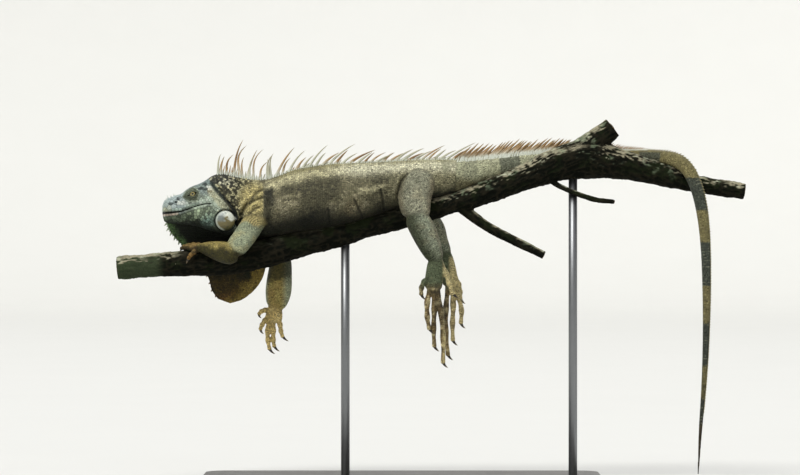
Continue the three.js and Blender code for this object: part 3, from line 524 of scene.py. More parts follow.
def firmed(points, edges, times):
    """Smoothing that keeps the volume: a step in, then a slightly larger step out."""
    for _ in range(times):
        points = relaxed(relaxed(points, edges, 1, 0.55), edges, 1, -0.57)
    return points


def store(mesh, name, values):
    """Keeps one number, vector or colour for each vertex, for the materials to read."""
    values = np.asarray(values, np.float32)
    kind, key = ("FLOAT", "value") if values.ndim == 1 else ("FLOAT_VECTOR", "vector")
    if name == "tint":
        kind, key = "FLOAT_COLOR", "color"
        values = np.concatenate([values, np.ones((len(values), 1), np.float32)], 1)
    mesh.attributes.new(name, kind, "POINT").data.foreach_set(key, values.ravel())


# The skin's surface


HEAD_PART, TRUNK_PART, TAIL_PART, UPPER_ARM, FOREARM, HAND, THIGH, SHANK, FOOT, DEWLAP_PART = range(10)
PART_OF = {"upper_arm": UPPER_ARM, "forearm": FOREARM, "hand": HAND,
           "thigh": THIGH, "shank": SHANK, "foot": FOOT}
BODY, PAWS = (HEAD_PART, TRUNK_PART), (HAND, FOOT)


def head_rings(count=66, sides=176):
    rings = []
    for tx, tz, bx, bz, mouth, jaw, lip, temple, crown in drawn(HEAD, count):
        half = [(0, 0), (0.5 * jaw, 0.02), (0.84 * jaw, 0.12), (jaw, 0.3)]
        half += [(lerp(jaw, lip, 0.6), lerp(0.3, mouth, 0.6)), (lip, mouth)]
        half += [(lerp(lip, temple, 0.4), lerp(mouth, 0.8, 0.42)), (temple, 0.8)]
        half += [(lerp(temple, crown, 0.45), 0.915), (crown, 0.975), (0.5 * crown, 0.995), (0, 1)]
        loop = np.array(half[::-1] + [(-w, h) for w, h in half[1:-1]])
        wrapped = np.vstack([loop[-1:], loop, loop[:2]])
        w, h = curve(wrapped, np.linspace(1, len(loop) + 1, sides, endpoint=False)).T
        top, bottom = np.array([tx, 0, tz]), np.array([bx, 0, bz])
        rings.append(bottom + (top - bottom) * h[:, None] + np.array([0, 1, 0]) * w[:, None])
    return np.array(rings)


def trunk_rings(step=2, sides=120):
    t, run = spaced([row[:4] for row in TRUNK], step, 4)
    angle = circle(sides)
    height = np.cos(angle)
    fullness = np.where(height > 0, 1 - 0.64 * height**2 * (1 - height), 1)
    rings = []
    for tx, tz, bx, bz, width in curve(TRUNK, t):
        top, bottom = np.array([tx, 0, tz]), np.array([bx, 0, bz])
        middle, reach = (top + bottom) / 2, np.linalg.norm(top - bottom) / 2
        side = np.sin(angle) * fullness * width
        up = unit(top - bottom) * (height * reach)[:, None]
        rings.append(middle + up + np.array([0, 1, 0]) * side[:, None])
    return np.array(rings), run / 2


def dewlap_swing(x, z):
    y, _, radius = branch_at(x)
    return smooth((DEWLAP["throat"] - z) / 40) * (y + radius + DEWLAP["thickness"] / 2 + DEWLAP["clearance"])


def dewlap_rings(rows=66, columns=40):
    front, rear = drawn(DEWLAP_FRONT, rows), drawn(DEWLAP_REAR, rows)
    even = np.linspace(0, 1, columns)
    s = smooth(even) * 0.5 + even * 0.5
    rings = []
    for r in range(rows):
        x, z = lerp(front[r], rear[r], s[:, None]).T
        inset = np.minimum(np.minimum(s, 1 - s) * 5, (rows - 1 - r) / rows * 5 + 0.1)
        half = 0.5 * lerp(DEWLAP["edge"], DEWLAP["thickness"], smooth(inset))
        folds = 0.9 * np.sin(s * 17 + r * 0.05) * rise(r, 14, 20) * smooth(inset)
        y = dewlap_swing(x, z) + folds
        left, right = (np.stack([x, y + w, z], 1) for w in (-half, half))
        rings.append(np.vstack([left, right[::-1]]))
    return np.array(rings)


def flesh_source():
    flesh = Flesh()
    flesh.add(head_rings(), HEAD_PART)
    flesh.add(ball_rings((-350.8, 0, 407), (9.2, 10.5, 12)), HEAD_PART)
    for side in (-1, 1):
        x, z, slope = EYE["x"], EYE["z"], (0, EYE["slope"], 0)
        flesh.add(ball_rings((x - 1.5, side * 15.2, z - 1.4), (12.6, 9.4, 10), slope), HEAD_PART)
        flesh.add(ball_rings((x + 1, side * 14.6, z + 6.2), (13.5, 5.8, 3.4), slope), HEAD_PART)
        flesh.add(ball_rings((-337.5, side * 15.2, 422), (5.4, 3.6, 4.2), (0, 0.3, 0)), HEAD_PART)
        flesh.add(ball_rings((-214, side * 33, 408), (19, 9, 25), (0, 0.25, 0), 40), TRUNK_PART)

    def tube(part, rows, step, sides, up=(0, 0, 1)):
        rings, run = tube_rings(rows, step, sides, up)
        flesh.add(rings, part, run)

    rings, run = trunk_rings()
    flesh.add(rings, TRUNK_PART, run)
    tube(TAIL_PART, TAIL, 1.6, 60)
    for name, rows in LIMBS.items():
        tube(PART_OF[name.split("_", 1)[1]], rows, 1.6, 56, (1, 0, 0.3))
    for name, foot in FEET.items():
        part = PART_OF[name.split("_", 1)[1]]
        tube(part, foot["palm"], 1.3, 40, foot["up"])
        for knuckles in foot["digits"]:
            tube(part, digit_rows(knuckles, foot["digit"]), 1.2, 26, (0.4, -1, 0.2))
    flesh.add(dewlap_rings(), DEWLAP_PART)
    return flesh


def digit_rows(knuckles, radius):
    """The digit swells at each joint and narrows between them."""
    t = np.linspace(0, 3, 13)
    dense = curve(knuckles, t)
    swell = np.interp(t, [0, 1, 2, 3], [1, 1.02, 0.94, 0.74]) * (0.96 + 0.14 * np.cos(2 * np.pi * t))
    rows = [(*p, radius * s, radius * s) for p, s in zip(dense, swell)]
    tip = unit(dense[-1] - dense[-2])
    return rows + [(*(dense[-1] + tip * 1.6), radius * 0.5, radius * 0.5)]


def distance_to_line(p, line):
    """How far each point is from a line in the x, z plane, and how far along the line it is."""
    x, z = p[:, 0], p[:, 2]
    line = drawn(line, len(line) * 6)
    best, at, walked = np.full(len(x), 1e9), np.zeros(len(x)), 0.0
    for (x0, z0), (x1, z1) in zip(line[:-1], line[1:]):
        dx, dz = x1 - x0, z1 - z0
        length = math.hypot(dx, dz)
        t = np.clip(((x - x0) * dx + (z - z0) * dz) / length**2, 0, 1)
        d = np.hypot(x - x0 - t * dx, z - z0 - t * dz)
        at = np.where(d < best, walked + t * length, at)
        best = np.minimum(best, d)
        walked += length
    return best, at, walked


def groove(p, line, depth, width, lip=0.0, lip_at=0.0, fade=6.0, far=1.0):
    """A crease along a line on both sides of the animal, as an amount to move along the normals."""
    d, at, length = distance_to_line(p, line)
    ends = smooth(np.minimum(at, length - at) / fade + 0.15)
    width = width * lerp(1, far, at / length)
    return (lip * bump(d, lip_at, width) - depth * bump(d, 0, width)) * ends


MOUTH = [(-359, 404), (-345, 405), (-330, 407), (-319.5, 410.3), (-308, 414.4), (-296, 417.5),
         (-284.5, 418.6)]
NECK_FOLD = [(-285, 449), (-278, 440), (-270.5, 431.5), (-261, 421.5), (-251, 409.5), (-246.5, 396)]
SHOULDER_FOLDS = [
    [(-242.5, 388), (-239, 401.5), (-232.5, 415), (-217.5, 424), (-205.5, 427.8)],
    [(-228, 418), (-222, 427), (-214.5, 436), (-206, 440)],
    [(-239, 378), (-232, 395), (-222, 408), (-210, 414)],
]
FLANK_FOLDS = [
    [(-108, 389), (-108.5, 399), (-110, 412)],
    [(-58, 395), (-64, 410), (-71, 424)],
    [(-27, 408), (-28.5, 424), (-32, 440)],
]
THIGH_FOLD = [(-6, 424), (-4.5, 440), (0, 453), (8, 463)]
SNOUT_FOLD = [(-337, 428), (-328, 427), (-323, 424)]
KNEE_FOLD = [(4, 410), (14, 412), (24, 404)]
SHIELD = {"x": -263.4, "y": 33.2, "z": 392.8, "wide": 14.2, "high": 14.8}
EAR = {"x": -277, "z": 419, "wide": 4.6, "high": 5.6}
NOSTRIL = {"x": -338, "z": 420.6, "wide": 1.9, "high": 1.35}
PEARL = {"x": -250.5, "z": 395.5, "wide": 3.4, "high": 3.4}
SOCKET_GAP = 0.8
OPENING = {"x": -312, "z": 432.8, "long": 5.4, "high": 3.6}


def lid_rings(p):
    """1 on the rim of the open lids, less inside it, and more from fold to fold outwards."""
    dx, dz = p[:, 0] - OPENING["x"], p[:, 2] - OPENING["z"]
    c, s = math.cos(EYE["slope"]), -math.sin(EYE["slope"])
    along, across = c * dx + s * dz, c * dz - s * dx
    along = along * (1 - 0.42 * smooth((-along - 2.5) / 7))
    return np.abs(across) / OPENING["high"] + (along / OPENING["long"]) ** 2


def lid_wrinkles(p, rings):
    """From -1 in the folds of the lids to 1 on the swells between them."""
    return np.cos((rings - 1.22 + 0.16 * noise(p, 3.5, 31)) * 2 * np.pi / 0.6)


def on_lids(p, rings):
    return fall(rings, 3.3, 0.8) * smooth((np.abs(p[:, 1]) - 12) / 3)


def ellipse(p, x, z, wide, high):
    return np.hypot((p[:, 0] - x) / wide, (p[:, 2] - z) / high)


def within(p, mark, gap=0.0):
    """0 in the middle of a round mark of the head, and 1 on its rim, moved out by a gap."""
    return ellipse(p, mark["x"], mark["z"], mark["wide"] + gap, mark["high"] + gap)


def tree_of(points):
    tree = kdtree.KDTree(len(points))
    for i, p in enumerate(points.tolist()):
        tree.insert(p, i)
    tree.balance()
    return tree


def plate_size(p):
    """How wide the scales of head and neck are at each point."""
    x, z = p[:, 0], p[:, 2]
    size = np.full(len(p), 3.0)
    for wanted, amount in (
        (5.2, fall(x, -326, 8)),
        (4.2, rise(z, 444, 6) * fall(x, -290, 8)),
        (3.7, smooth(1.6 - ellipse(p, -292, 400, 26, 11))),
        (1.7, on_lids(p, lid_rings(p))),
        (2.7, rise(x, -280, 14) * rise(z, 405, 8)),
        (2.4, fall(z, 388, 6)),
    ):
        size = lerp(size, wanted, amount)
    return size


def carve_head(p, n):
    """Mouth, lids, nostril, ear, shield socket and folds of the neck, as moves along the normals."""
    x, side = p[:, 0], np.abs(p[:, 1])
    outer = smooth((np.abs(n[:, 1]) - 0.1) / 0.3)
    front = fall(x, -352, 3)
    move = groove(p, MOUTH, 2.3, 1.8, 0.8, 3.6, 5, 0.45) * np.maximum(outer, front) * (x < -280)
    rings = lid_rings(p)
    rim = bump(rings, 1.25, 0.2) * rise(side, 12, 3)
    move += rim + 0.5 * lid_wrinkles(p, rings) * rise(rings, 1.35, 0.3) * on_lids(p, rings)
    hole, drum, socket = within(p, NOSTRIL), within(p, EAR), within(p, SHIELD, SOCKET_GAP)
    move += outer * (-2.2 * smooth(1.5 - hole) + 0.5 * bump(hole, 2.1, 0.7))
    move += outer * (-1.0 * fall(drum, 1.05, 0.4) + 0.35 * bump(drum, 1.3, 0.2))
    move += outer * (-1.6 * bump(socket, 1, 0.1) + 0.6 * bump(socket, 1.22, 0.1))
    move += outer * groove(p, NECK_FOLD, 3.6, 2.4, 1.1, 5)
    move += outer * groove(p, SNOUT_FOLD, 0.8, 1.6)
    move += outer * 1.3 * smooth((1.2 - within(p, PEARL)) / 0.5)
    return move * fall(x, -236, 10)


def carve_body(p, n, skin):
    """Folds of shoulder, flank, thigh and knee, the loose skin's crumples and the ridge of the back."""
    x, y, z = p.T
    left, outer = y < 0, smooth((np.abs(n[:, 1]) - 0.15) / 0.3)
    body, leg = np.isin(skin["part"], BODY), np.isin(skin["part"], (THIGH, SHANK))
    move = np.zeros(len(p))
    for line, depth in zip(SHOULDER_FOLDS, (3.0, 1.8, 1.8)):
        move += outer * groove(p, line, depth, 2.4, 0.8, 4.5) * body
    for line, depth in zip(FLANK_FOLDS, (0.9, 1.4, 1.8)):
        move += outer * groove(p, line, depth, 1.9, 0.5, 4) * body
    move += outer * groove(p, THIGH_FOLD, 3.0, 2.6, 0.5, 5) * body * left
    move += outer * groove(p, KNEE_FOLD, 1.1, 1.6, 0.4, 3.2) * leg * left
    loose = body * rise(x, -285, 20) * fall(x, -175, 20) * fall(z, 452, 15)
    move += 0.8 * fractal(np.stack([x + 0.55 * z, y, z - 0.4 * x], 1), (7, 12, 22), 41, 2) * loose
    flank = body * rise(x, -185, 20) * fall(x, 60, 30)
    move += flank * outer * 0.9 * fractal(p, (11, 40, 60), 43, 2)
    move += body * 1.1 * bump(y, 0, 3.5) * (n[:, 2] > 0.3) * rise(x, -285, 8)
    return move


def skin_mesh():
    """The whole hide as one surface, with what each vertex needs to know for its relief and colour."""
    flesh = flesh_source()
    mesh = remeshed("iguana_skin", flesh, SKIN_VOXEL)
    finer(mesh)
    p, edges = points_of(mesh), edges_of(mesh)
    skin = flesh.under(p)
    a, b = edges.T
    joint = np.zeros(len(p))
    meets = skin["part"][a] != skin["part"][b]
    joint[a[meets]] = joint[b[meets]] = 1
    skin["joint"] = smooth(relaxed(joint, edges, 14, 0.9) * 5)
    p = firmed(p, edges, 5)
    p = relaxed(p, edges, 10, 0.5 * skin["joint"] * np.where(np.isin(skin["part"], PAWS), 0.35, 1))
    p = clear_of_branch(firmed(p, edges, 2))
    set_points(mesh, p)
    n = normals_of(mesh)
    p = open_lids(p + n * (carve_head(p, n) + carve_body(p, n, skin))[:, None])
    set_points(mesh, p)
    p = p + normals_of(mesh) * scale_relief(p, skin)[:, None]
    set_points(mesh, p)
    return mesh, p, edges, skin


def finer(mesh):
    """Splits the faces of head and neck once, where lids, lips and plates need it."""
    bm = bmesh.new()
    bm.from_mesh(mesh)
    wanted = [
        e for e in bm.edges
        if all(v.co.x < -0.238 and v.co.z > 0.372 and abs(v.co.y) < 0.045 for v in e.verts)
    ]
    bmesh.ops.subdivide_edges(bm, edges=wanted, cuts=1, use_grid_fill=True)
    bm.to_mesh(mesh)
    bm.free()


def clear_of_branch(p):
    """Flesh that would sink into the branch lies round it instead."""
    line = BRANCH_LINE[::6]
    tree = tree_of(line[:, :3])
    out = p.copy()
    for i in np.nonzero((p[:, 2] < 500) & (np.abs(p[:, 1]) <= 40))[0].tolist():
        _, j, d = tree.find(p[i].tolist())
        gap = line[j, 3] + 0.5
        if d < gap:
            out[i] = line[j, :3] + (p[i] - line[j, :3]) * (gap / max(d, 0.5))
    return out


def open_lids(p):
    """Inside the almond the skin falls back behind the eyeball."""
    inside = lid_rings(p)
    side = np.abs(p[:, 1])
    here = (inside < 1.0) & (side > EYE["y"]) & (np.abs(p[:, 0] - EYE["x"]) < 12)
    y = lerp(side, np.minimum(side, EYE["y"] + 1.5), fall(inside, 1.0, 0.3))
    out = p.copy()
    out[:, 1] = np.where(here, np.sign(p[:, 1]) * y, p[:, 1])
    return out


def scale_relief(p, skin):
    """Plates of the head, tubercles of the neck, whorls of the tail, ridges of the digits."""
    move = np.zeros(len(p))
    head = np.nonzero((p[:, 0] < -214) & (p[:, 2] > 366) & np.isin(skin["part"], BODY))[0]
    q = p[head]
    sizes, lips = plate_size(q), lip_seeds()
    candidates = np.vstack([lips, q])
    picked = spread_seeds(candidates, np.concatenate([np.full(len(lips), 0.01), sizes]), len(lips), 5)
    seeds = candidates[picked]
    tree = tree_of(seeds)
    first, second, which = np.zeros(len(q)), np.zeros(len(q)), np.zeros(len(q), int)
    for k, point in enumerate(q.tolist()):
        (_, which[k], first[k]), (_, _, second[k]) = tree.find_n(point, 2)
    border = (second - first) / 2
    lids = on_lids(q, lid_rings(q))
    fade = fall(q[:, 0], -216, 14) * smooth((within(q, EAR) - 0.95) / 0.2)
    height = lerp(0.24, 0.62, rise(sizes, 1.9, 2.6)) * (1 - 0.6 * lids)
    dome = smooth(border / (0.36 * sizes + 0.1)) * (1 - 0.3 * luck_of(which, 17))
    move[head] = height * (dome - 0.8) * (fade * fall(q[:, 0], -226, 12))
    skin["edge"] = np.ones(len(p))
    skin["edge"][head] = lerp(1, rise(border, -0.1, 0.7), fade * (1 - 0.5 * lids))
    skin["luck"] = np.full((len(p), 2), 0.5)
    for k in range(2):
        skin["luck"][head, k] = lerp(0.5, luck_of(which, 11 + k), fade)
    skin["centre"] = p.copy()
    skin["centre"][head] = q + (seeds[which] - q) * (0.92 * fade)[:, None]
    nubs(p, skin, move, head[(q[:, 0] > -276) & (q[:, 2] > 405)], 6.8, 1.8, 0.9, 13)
    ring = skin["run"] / WHORL
    saw = ring - np.floor(ring)
    slim = rise(skin["run"], 30, 60) * fall(skin["run"], 900, 260)
    move += np.where(skin["part"] == TAIL_PART, 0.42 * (saw**2 - 0.35) * slim, 0)
    scute = np.abs(np.sin(np.pi * (skin["run"] / SCUTE)))
    return move + np.where(np.isin(skin["part"], PAWS), 0.22 * (scute - 0.6), 0)


def lip_seeds():
    """Centres of the oblong plates above and below the mouth, on both sides."""
    seeds = []
    line = curve(MOUTH, np.linspace(0.35, len(MOUTH) - 1, 400))
    walked, head = walk(line), drawn(HEAD, 200)
    for offset, spacing in ((2.7, 5.4), (-2.7, 5.0)):
        for s in np.arange(2, walked[-1] - 2, spacing):
            x, z = (np.interp(s, walked, line[:, k]) for k in (0, 1))
            y = np.interp(x, lerp(head[:, 2], head[:, 0], head[:, 4]), head[:, 6])
            seeds += [(x - 0.2 * offset, side * y, z + offset) for side in (-1, 1)]
    return np.array(seeds)


def spread_seeds(points, sizes, kept, seed):
    """Picks points in random order, each clear of those before it. The first few are always kept."""
    sizes = sizes.copy()
    sizes[:kept] = 4.6
    others = np.random.default_rng(seed).permutation(len(points) - kept)
    order = np.concatenate([np.arange(kept), kept + others])
    cell = float(sizes.max())
    boxes, picked = {}, []
    at = np.floor(points / cell).astype(int).tolist()
    rows, widths = points.tolist(), sizes.tolist()
    steps = list(product((-1, 0, 1), repeat=3))
    for i in order.tolist():
        (bx, by, bz), (px, py, pz), size = at[i], rows[i], widths[i]
        near = False
        if i >= kept:
            for sx, sy, sz in steps:
                for j in boxes.get((bx + sx, by + sy, bz + sz), ()):
                    qx, qy, qz = rows[j]
                    reach = 0.5 * (size + widths[j])
                    if (px - qx) ** 2 + (py - qy) ** 2 + (pz - qz) ** 2 < reach * reach:
                        near = True
                        break
                if near:
                    break
        if not near:
            boxes.setdefault((bx, by, bz), []).append(i)
            picked.append(i)
    return np.array(picked)


def luck_of(which, seed):
    """A repeatable value from 0 to 1 for each plate."""
    return np.random.default_rng(seed).random(int(which.max()) + 1)[which]


def nubs(p, skin, move, where, spacing, radius, height, seed):
    """Low cones scattered among the small scales."""
    q = p[where]
    sizes = np.full(len(q), spacing) * (1 + 0.35 * noise(q, 9, seed))
    picked = spread_seeds(q, sizes, 0, seed)
    tree = tree_of(q[picked])
    d = np.array([tree.find(point)[2] for point in q.tolist()])
    cone = smooth(1 - d / radius)
    move[where] += height * cone
    skin["nub"] = np.zeros(len(p))
    skin["nub"][where] = cone


# Colours, as the photo's mean tones with their names


def srgb(*rgb):
    c = np.array(rgb, float) / 255
    return np.where(c <= 0.04045, c / 12.92, ((c + 0.055) / 1.055) ** 2.4)


SNOUT = srgb(163, 177, 175)
CROWN = srgb(128, 142, 138)
CHEEK = srgb(170, 183, 166)
LIPS = srgb(128, 143, 130)
JAW = srgb(80, 91, 73)
JAW_PALE = srgb(138, 152, 124)
JOWL = srgb(108, 119, 99)
CHIN_SHADE = srgb(16, 24, 13)
TEAL = srgb(106, 128, 118)
TEMPLE = srgb(118, 131, 130)
DARK_MARK = srgb(34, 40, 40)
WHITE_SCALE = srgb(214, 218, 208)
LID = srgb(96, 104, 86)
LID_FOLD_SHADE = srgb(44, 50, 36)
LID_PALE = srgb(146, 154, 124)
LIP_PINK = srgb(146, 126, 110)
RECESS_SHADE = srgb(20, 19, 15)
CREAM = srgb(198, 190, 150)
NECK_PALE = srgb(152, 149, 112)
NECK_DARK = srgb(40, 41, 31)
NAPE = srgb(27, 31, 31)
SHOULDER_TAN = srgb(195, 181, 123)
SHOULDER_BAR = srgb(40, 41, 31)
DORSAL = srgb(191, 185, 147)
DORSAL_REAR = srgb(204, 201, 172)
SPINE_LINE = srgb(128, 122, 80)
FLANK = srgb(103, 99, 76)
FLANK_DARK = srgb(48, 47, 33)
FLANK_PALE = srgb(146, 140, 113)
RUST = srgb(116, 92, 54)
# painted shade, for the underside of the trunk and the creases of flank and thigh
BELLY_SHADE = srgb(16, 18, 9)
PELVIS = srgb(127, 123, 95)
TAIL_BASE = srgb(172, 173, 142)
TAIL_PALE = srgb(184, 184, 154)
TAIL_BELLY = srgb(92, 84, 56)
SADDLE = srgb(70, 77, 74)
TAIL_BROWN = srgb(124, 116, 78)
TAIL_DARK = srgb(52, 60, 50)
TAIL_TIP = srgb(52, 44, 32)
ARM_PALE = srgb(152, 160, 132)
FOREARM_TAN = srgb(147, 134, 78)
FOREARM_SHADE = srgb(33, 34, 10)
HAND_TAN = srgb(142, 118, 69)
THIGH_GREY = srgb(138, 138, 117)
SHANK_GREY = srgb(137, 143, 122)
LIMB_DARK = srgb(52, 55, 36)
LIMB_RUST = srgb(112, 88, 62)
FOOT_GREY = srgb(88, 97, 72)
TOE_BROWN = srgb(118, 100, 66)
TOE_PALE = srgb(206, 194, 148)
LIT_HAND_GOLD = srgb(208, 184, 120)
TOE_GOLD = srgb(206, 190, 138)
LEG_SHADE = srgb(40, 46, 22)
DEWLAP_REAR_TAN = srgb(126, 108, 50)
THUMB = srgb(150, 116, 62)
TOE_DARK = srgb(44, 38, 26)
DEWLAP_TOP = srgb(16, 23, 10)
DEWLAP_EDGE = srgb(94, 124, 76)
DEWLAP_LOW = srgb(62, 50, 18)
DEWLAP_RIM = srgb(104, 74, 34)
SPINE_ROOT = srgb(204, 208, 194)
SPINE_PALE = srgb(176, 174, 150)
SPINE_MID = srgb(158, 126, 80)
SPINE_TIP = srgb(152, 144, 114)
SPINE_DARK = srgb(118, 90, 56)
CREST_TAIL = srgb(142, 104, 54)


def blend_in(colour, other, amount):
    return colour + (other - colour) * np.clip(amount, 0, 1)[:, None]


def layered(colour, *coats):
    """Tones laid one over another, each by its own amount."""
    for tone, amount in coats:
        colour = blend_in(colour, tone, amount)
    return colour


def all_over(tone, p):
    return np.tile(tone, (len(p), 1))


def spot(p, x, z, wide, high, soft=0.3):
    return smooth((1 + soft - ellipse(p, x, z, wide, high)) / (2 * soft))


def near_line(p, line, reach):
    return smooth(1.4 - distance_to_line(p, line)[0] / reach)


HEAD_MARKS = [
    (-300.5, 441.2, 4.6, 1.9), (-293.5, 439.4, 4.2, 2.1), (-294.7, 447.4, 3, 2.6),
    (-287, 436.4, 4, 1.7), (-335.8, 425.6, 2.8, 2.2), (-306, 424.5, 3, 1.6), (-346, 419, 3.4, 1.3),
    (-325, 429, 3.4, 1.6), (-317, 419.5, 3.5, 1.2),
]


def head_colour(p, q, luck, mottle):
    """Patterns are laid out by q, the middle of each plate, so that they keep to whole plates."""
    x, z = q[:, 0], q[:, 2]
    mouth_z = read_off(MOUTH, x)
    below = smooth((mouth_z - 1.5 - z) / 3) * fall(x, -258, 16)
    low_lip = smooth(1.3 - np.abs(p[:, 2] - mouth_z + 2.9) / 2.2) * fall(x, -330, 10)
    marks = [spot(lerp(q, p, 0.4), *mark, 0.45) for mark in HEAD_MARKS]
    return layered(
        all_over(CHEEK, p),
        (CROWN, smooth((z - 440 - 0.25 * (x + 300)) / 7) * rise(x, -330, 12)),
        (SNOUT, fall(x, -316, 14)),
        (TEMPLE, spot(q, -294, 438, 12, 7, 0.5) * 0.75),
        (LIPS, smooth(1.6 - np.abs(z - mouth_z - 3) / 2.6) * fall(x, -290, 10) * 0.8),
        (JOWL, below),
        (JAW, below * smooth((-296 - x - 0.9 * (z - 400)) / 16) * 0.9),
        (JAW_PALE, below * smooth(mottle * 1.8 + luck[:, 1] * 0.9 - 0.75) * rise(z, 388, 12) * 0.8),
        # painted shade: the underside of the jaw and the throat go near black towards the bottom
        (CHIN_SHADE, smooth((399 - z + 3 * mottle) / 11) * fall(x, -272, 16) * 0.95),
        (CHIN_SHADE, fall(z, 384, 8) * fall(x, -240, 10) * 0.9),
        (CHEEK, spot(q, -268, 414, 14, 8, 0.6) * 0.8),
        (TEAL, spot(q, -288.5, 392, 9, 8, 0.9) * lerp(0.4, 1, luck[:, 1])),
        (NECK_PALE, spot(q, -353, 410, 7, 5, 0.6) * 0.55),
        (DARK_MARK, smooth((0.15 - luck[:, 0]) * 20) * rise(x, -335, 20) * 0.45),
        (WHITE_SCALE, smooth((luck[:, 0] - 0.9) * 20) * rise(z, 412, 6) * 0.4),
        (DARK_MARK, np.max(marks, axis=0) * 0.85),
        (WHITE_SCALE, spot(q, -286.3, 442.2, 5, 4, 0.3) * 0.9),
        (WHITE_SCALE, spot(q, -328, 420, 6, 3.8, 0.4) * 0.7),
        (LIP_PINK, low_lip * 0.75),
    )


def lid_colour(c, p):
    rings, side = lid_rings(p), np.abs(p[:, 1])
    here, folds = on_lids(p, rings), lid_wrinkles(p, rings)
    return layered(
        c,
        (LID, here * 0.95),
        (LID_PALE, here * smooth(folds * 0.8 - 0.1) * 0.55),
        # painted shade in the folds of the lids
        (LID_FOLD_SHADE, here * smooth(-folds * 0.9 - 0.1) * 0.75),
        (LID_PALE, bump(rings, 3.35, 0.3) * rise(side, 12, 3) * 0.45),
        # painted shade in the gap between the lids and the eyeball
        (RECESS_SHADE, fall(rings, 1.12, 0.12) * (side > 12)),
    )


def neck_colour(c, q, luck, mottle):
    """Dark and cream scales mixed, darkest at the nape, behind the fold that ends the head."""
    x, z = q[:, 0], q[:, 2]
    fold = read_off(NECK_FOLD[::-1] + [(-294, 462)], z, 1, 0)
    neck = smooth((x - fold - 0.5 + 2 * mottle) / 2.5) * smooth((-202 - x + 8 * mottle) / 22)
    neck = neck * rise(z, 376, 14)
    nape = smooth((z - 441 + 4 * mottle) / 7) * fall(x, -240, 22)
    dark = smooth((0.52 + 0.36 * mottle + 0.36 * nape - luck[:, 0]) / 0.1)
    calm = spot(q, -222, 424, 23, 24, 0.35) * lerp(0.9, 0.6, dark)
    return layered(
        c,
        (CREAM, near_line(q, [(-285, 437), (-276, 426), (-264, 413)], 6) * (1 - neck) * 0.5),
        (lerp(NECK_PALE, CREAM, luck[:, 1:] * 0.8), neck),
        (WHITE_SCALE, neck * nape * 0.3),
        (lerp(NECK_DARK, NAPE, nape[:, None]), neck * dark * 0.92),
        (SHOULDER_TAN, calm * rise(x, -256, 22) * fall(x, -205, 4)),
    )


def trunk_colour(p, mottle, broad):
    x, z = p[:, 0], p[:, 2]
    top, bottom = read_off(TRUNK, x), read_off(TRUNK, x, 2, 3)
    h = (z - bottom) / (top - bottom)
    rear = rise(x, -125, 60)
    # painted highlight: a pale band just below the ridge, where the light catches the upper flank
    dorsal_highlight = bump(z, top - lerp(11, 9, rear) + 3.5 * mottle, lerp(7, 9, rear)) * rise(x, -212, 16)
    second = bump(z, 440 + 0.2 * (x + 47) + 3 * mottle, 4) * rise(x, -70, 12) * fall(x, -20, 12)
    bar = smooth((x + 207 + 2 * mottle) / 3) * smooth((-188 - x + 6 * mottle) / 7)
    return layered(
        all_over(FLANK, p),
        (FLANK_PALE, smooth(mottle * 1.3 + broad * 0.8) * 0.7),
        (RUST, smooth(broad * 2.2 - 0.2) * smooth(0.5 - np.abs(x + 80) / 90) * 0.4),
        (FLANK_DARK, smooth(-broad * 1.8 - 0.05 - 0.4 * mottle) * 0.6),
        (PELVIS, rise(x, -40, 50) * 0.8),
        (SPINE_LINE, smooth((z - top + 9) / 6) * rise(x, -205, 30) * 0.8),
        (lerp(DORSAL, DORSAL_REAR, rear[:, None]), dorsal_highlight * lerp(0.85, 1, rear)),
        (DORSAL, second * 0.65),
        # painted shade: the lower trunk darkens to near black, as if unlit from below
        (BELLY_SHADE, smooth((lerp(0.46, 0.34, rear) - h + 0.06 * mottle) / 0.32) * 0.95),
        (SHOULDER_BAR, bar * lerp(0.5, 0.95, rise(h, 0.45, 0.3)) * fall(h, 0.88, 0.1)),
    )


# The hanging tail's dark bands by height, and the saddles along its base with how dark each is.
BANDS = [(458.5, 406), (362.5, 293.5), (241, 175), (128.5, 85)]
SADDLES = [(40, 59, 0.5), (90, 116, 0.3), (146, 178, 0.75), (212, 246, 0.85), (286, 318, 0.85),
           (354, 388, 0.85)]


def tail_colour(p, run, around, mottle, fine):
    x, z, top = p[:, 0], p[:, 2], np.abs(around)
    hanging, edge, dark = rise(x, 405, 14), 2.6 * mottle, np.zeros(len(p))
    for low, high, share in SADDLES:
        reach = smooth((x - low + edge) / 4) * smooth((high - x + edge) / 4) * rise(top, 5, 5)
        dark = np.maximum(dark, reach * share * (1 - hanging) * fall(top, 46, 12))
    for high, low in BANDS:
        dark = np.maximum(dark, smooth((high - z + edge) / 3) * smooth((z - low + edge) / 3) * hanging)
    c = layered(
        all_over(TAIL_BASE, p),
        (TAIL_BROWN, rise(x, 170, 180)),
        (TAIL_PALE, bump(top, 9, 9) * fall(x, 260, 90) * (0.65 + 0.3 * mottle)),
        (TAIL_BELLY, smooth((top - 34 + 5 * mottle) / 14) * (1 - hanging) * 0.8),
        (lerp(SADDLE, TAIL_DARK, 0.5), dark * 0.92),
    )
    ring = run / WHORL
    line = bump(ring - np.floor(ring), 0.96, 0.1) * hanging * smooth(mottle * 1.5 + fine * 1.5 + 0.3)
    return layered(
        c * (1 - 0.45 * fall(z, 380, 260) * hanging)[:, None],
        (TAIL_TIP, fall(z, 100, 25) * hanging),
        (TAIL_PALE, line * 0.5 * (0.4 + 0.6 * dark)),
    )


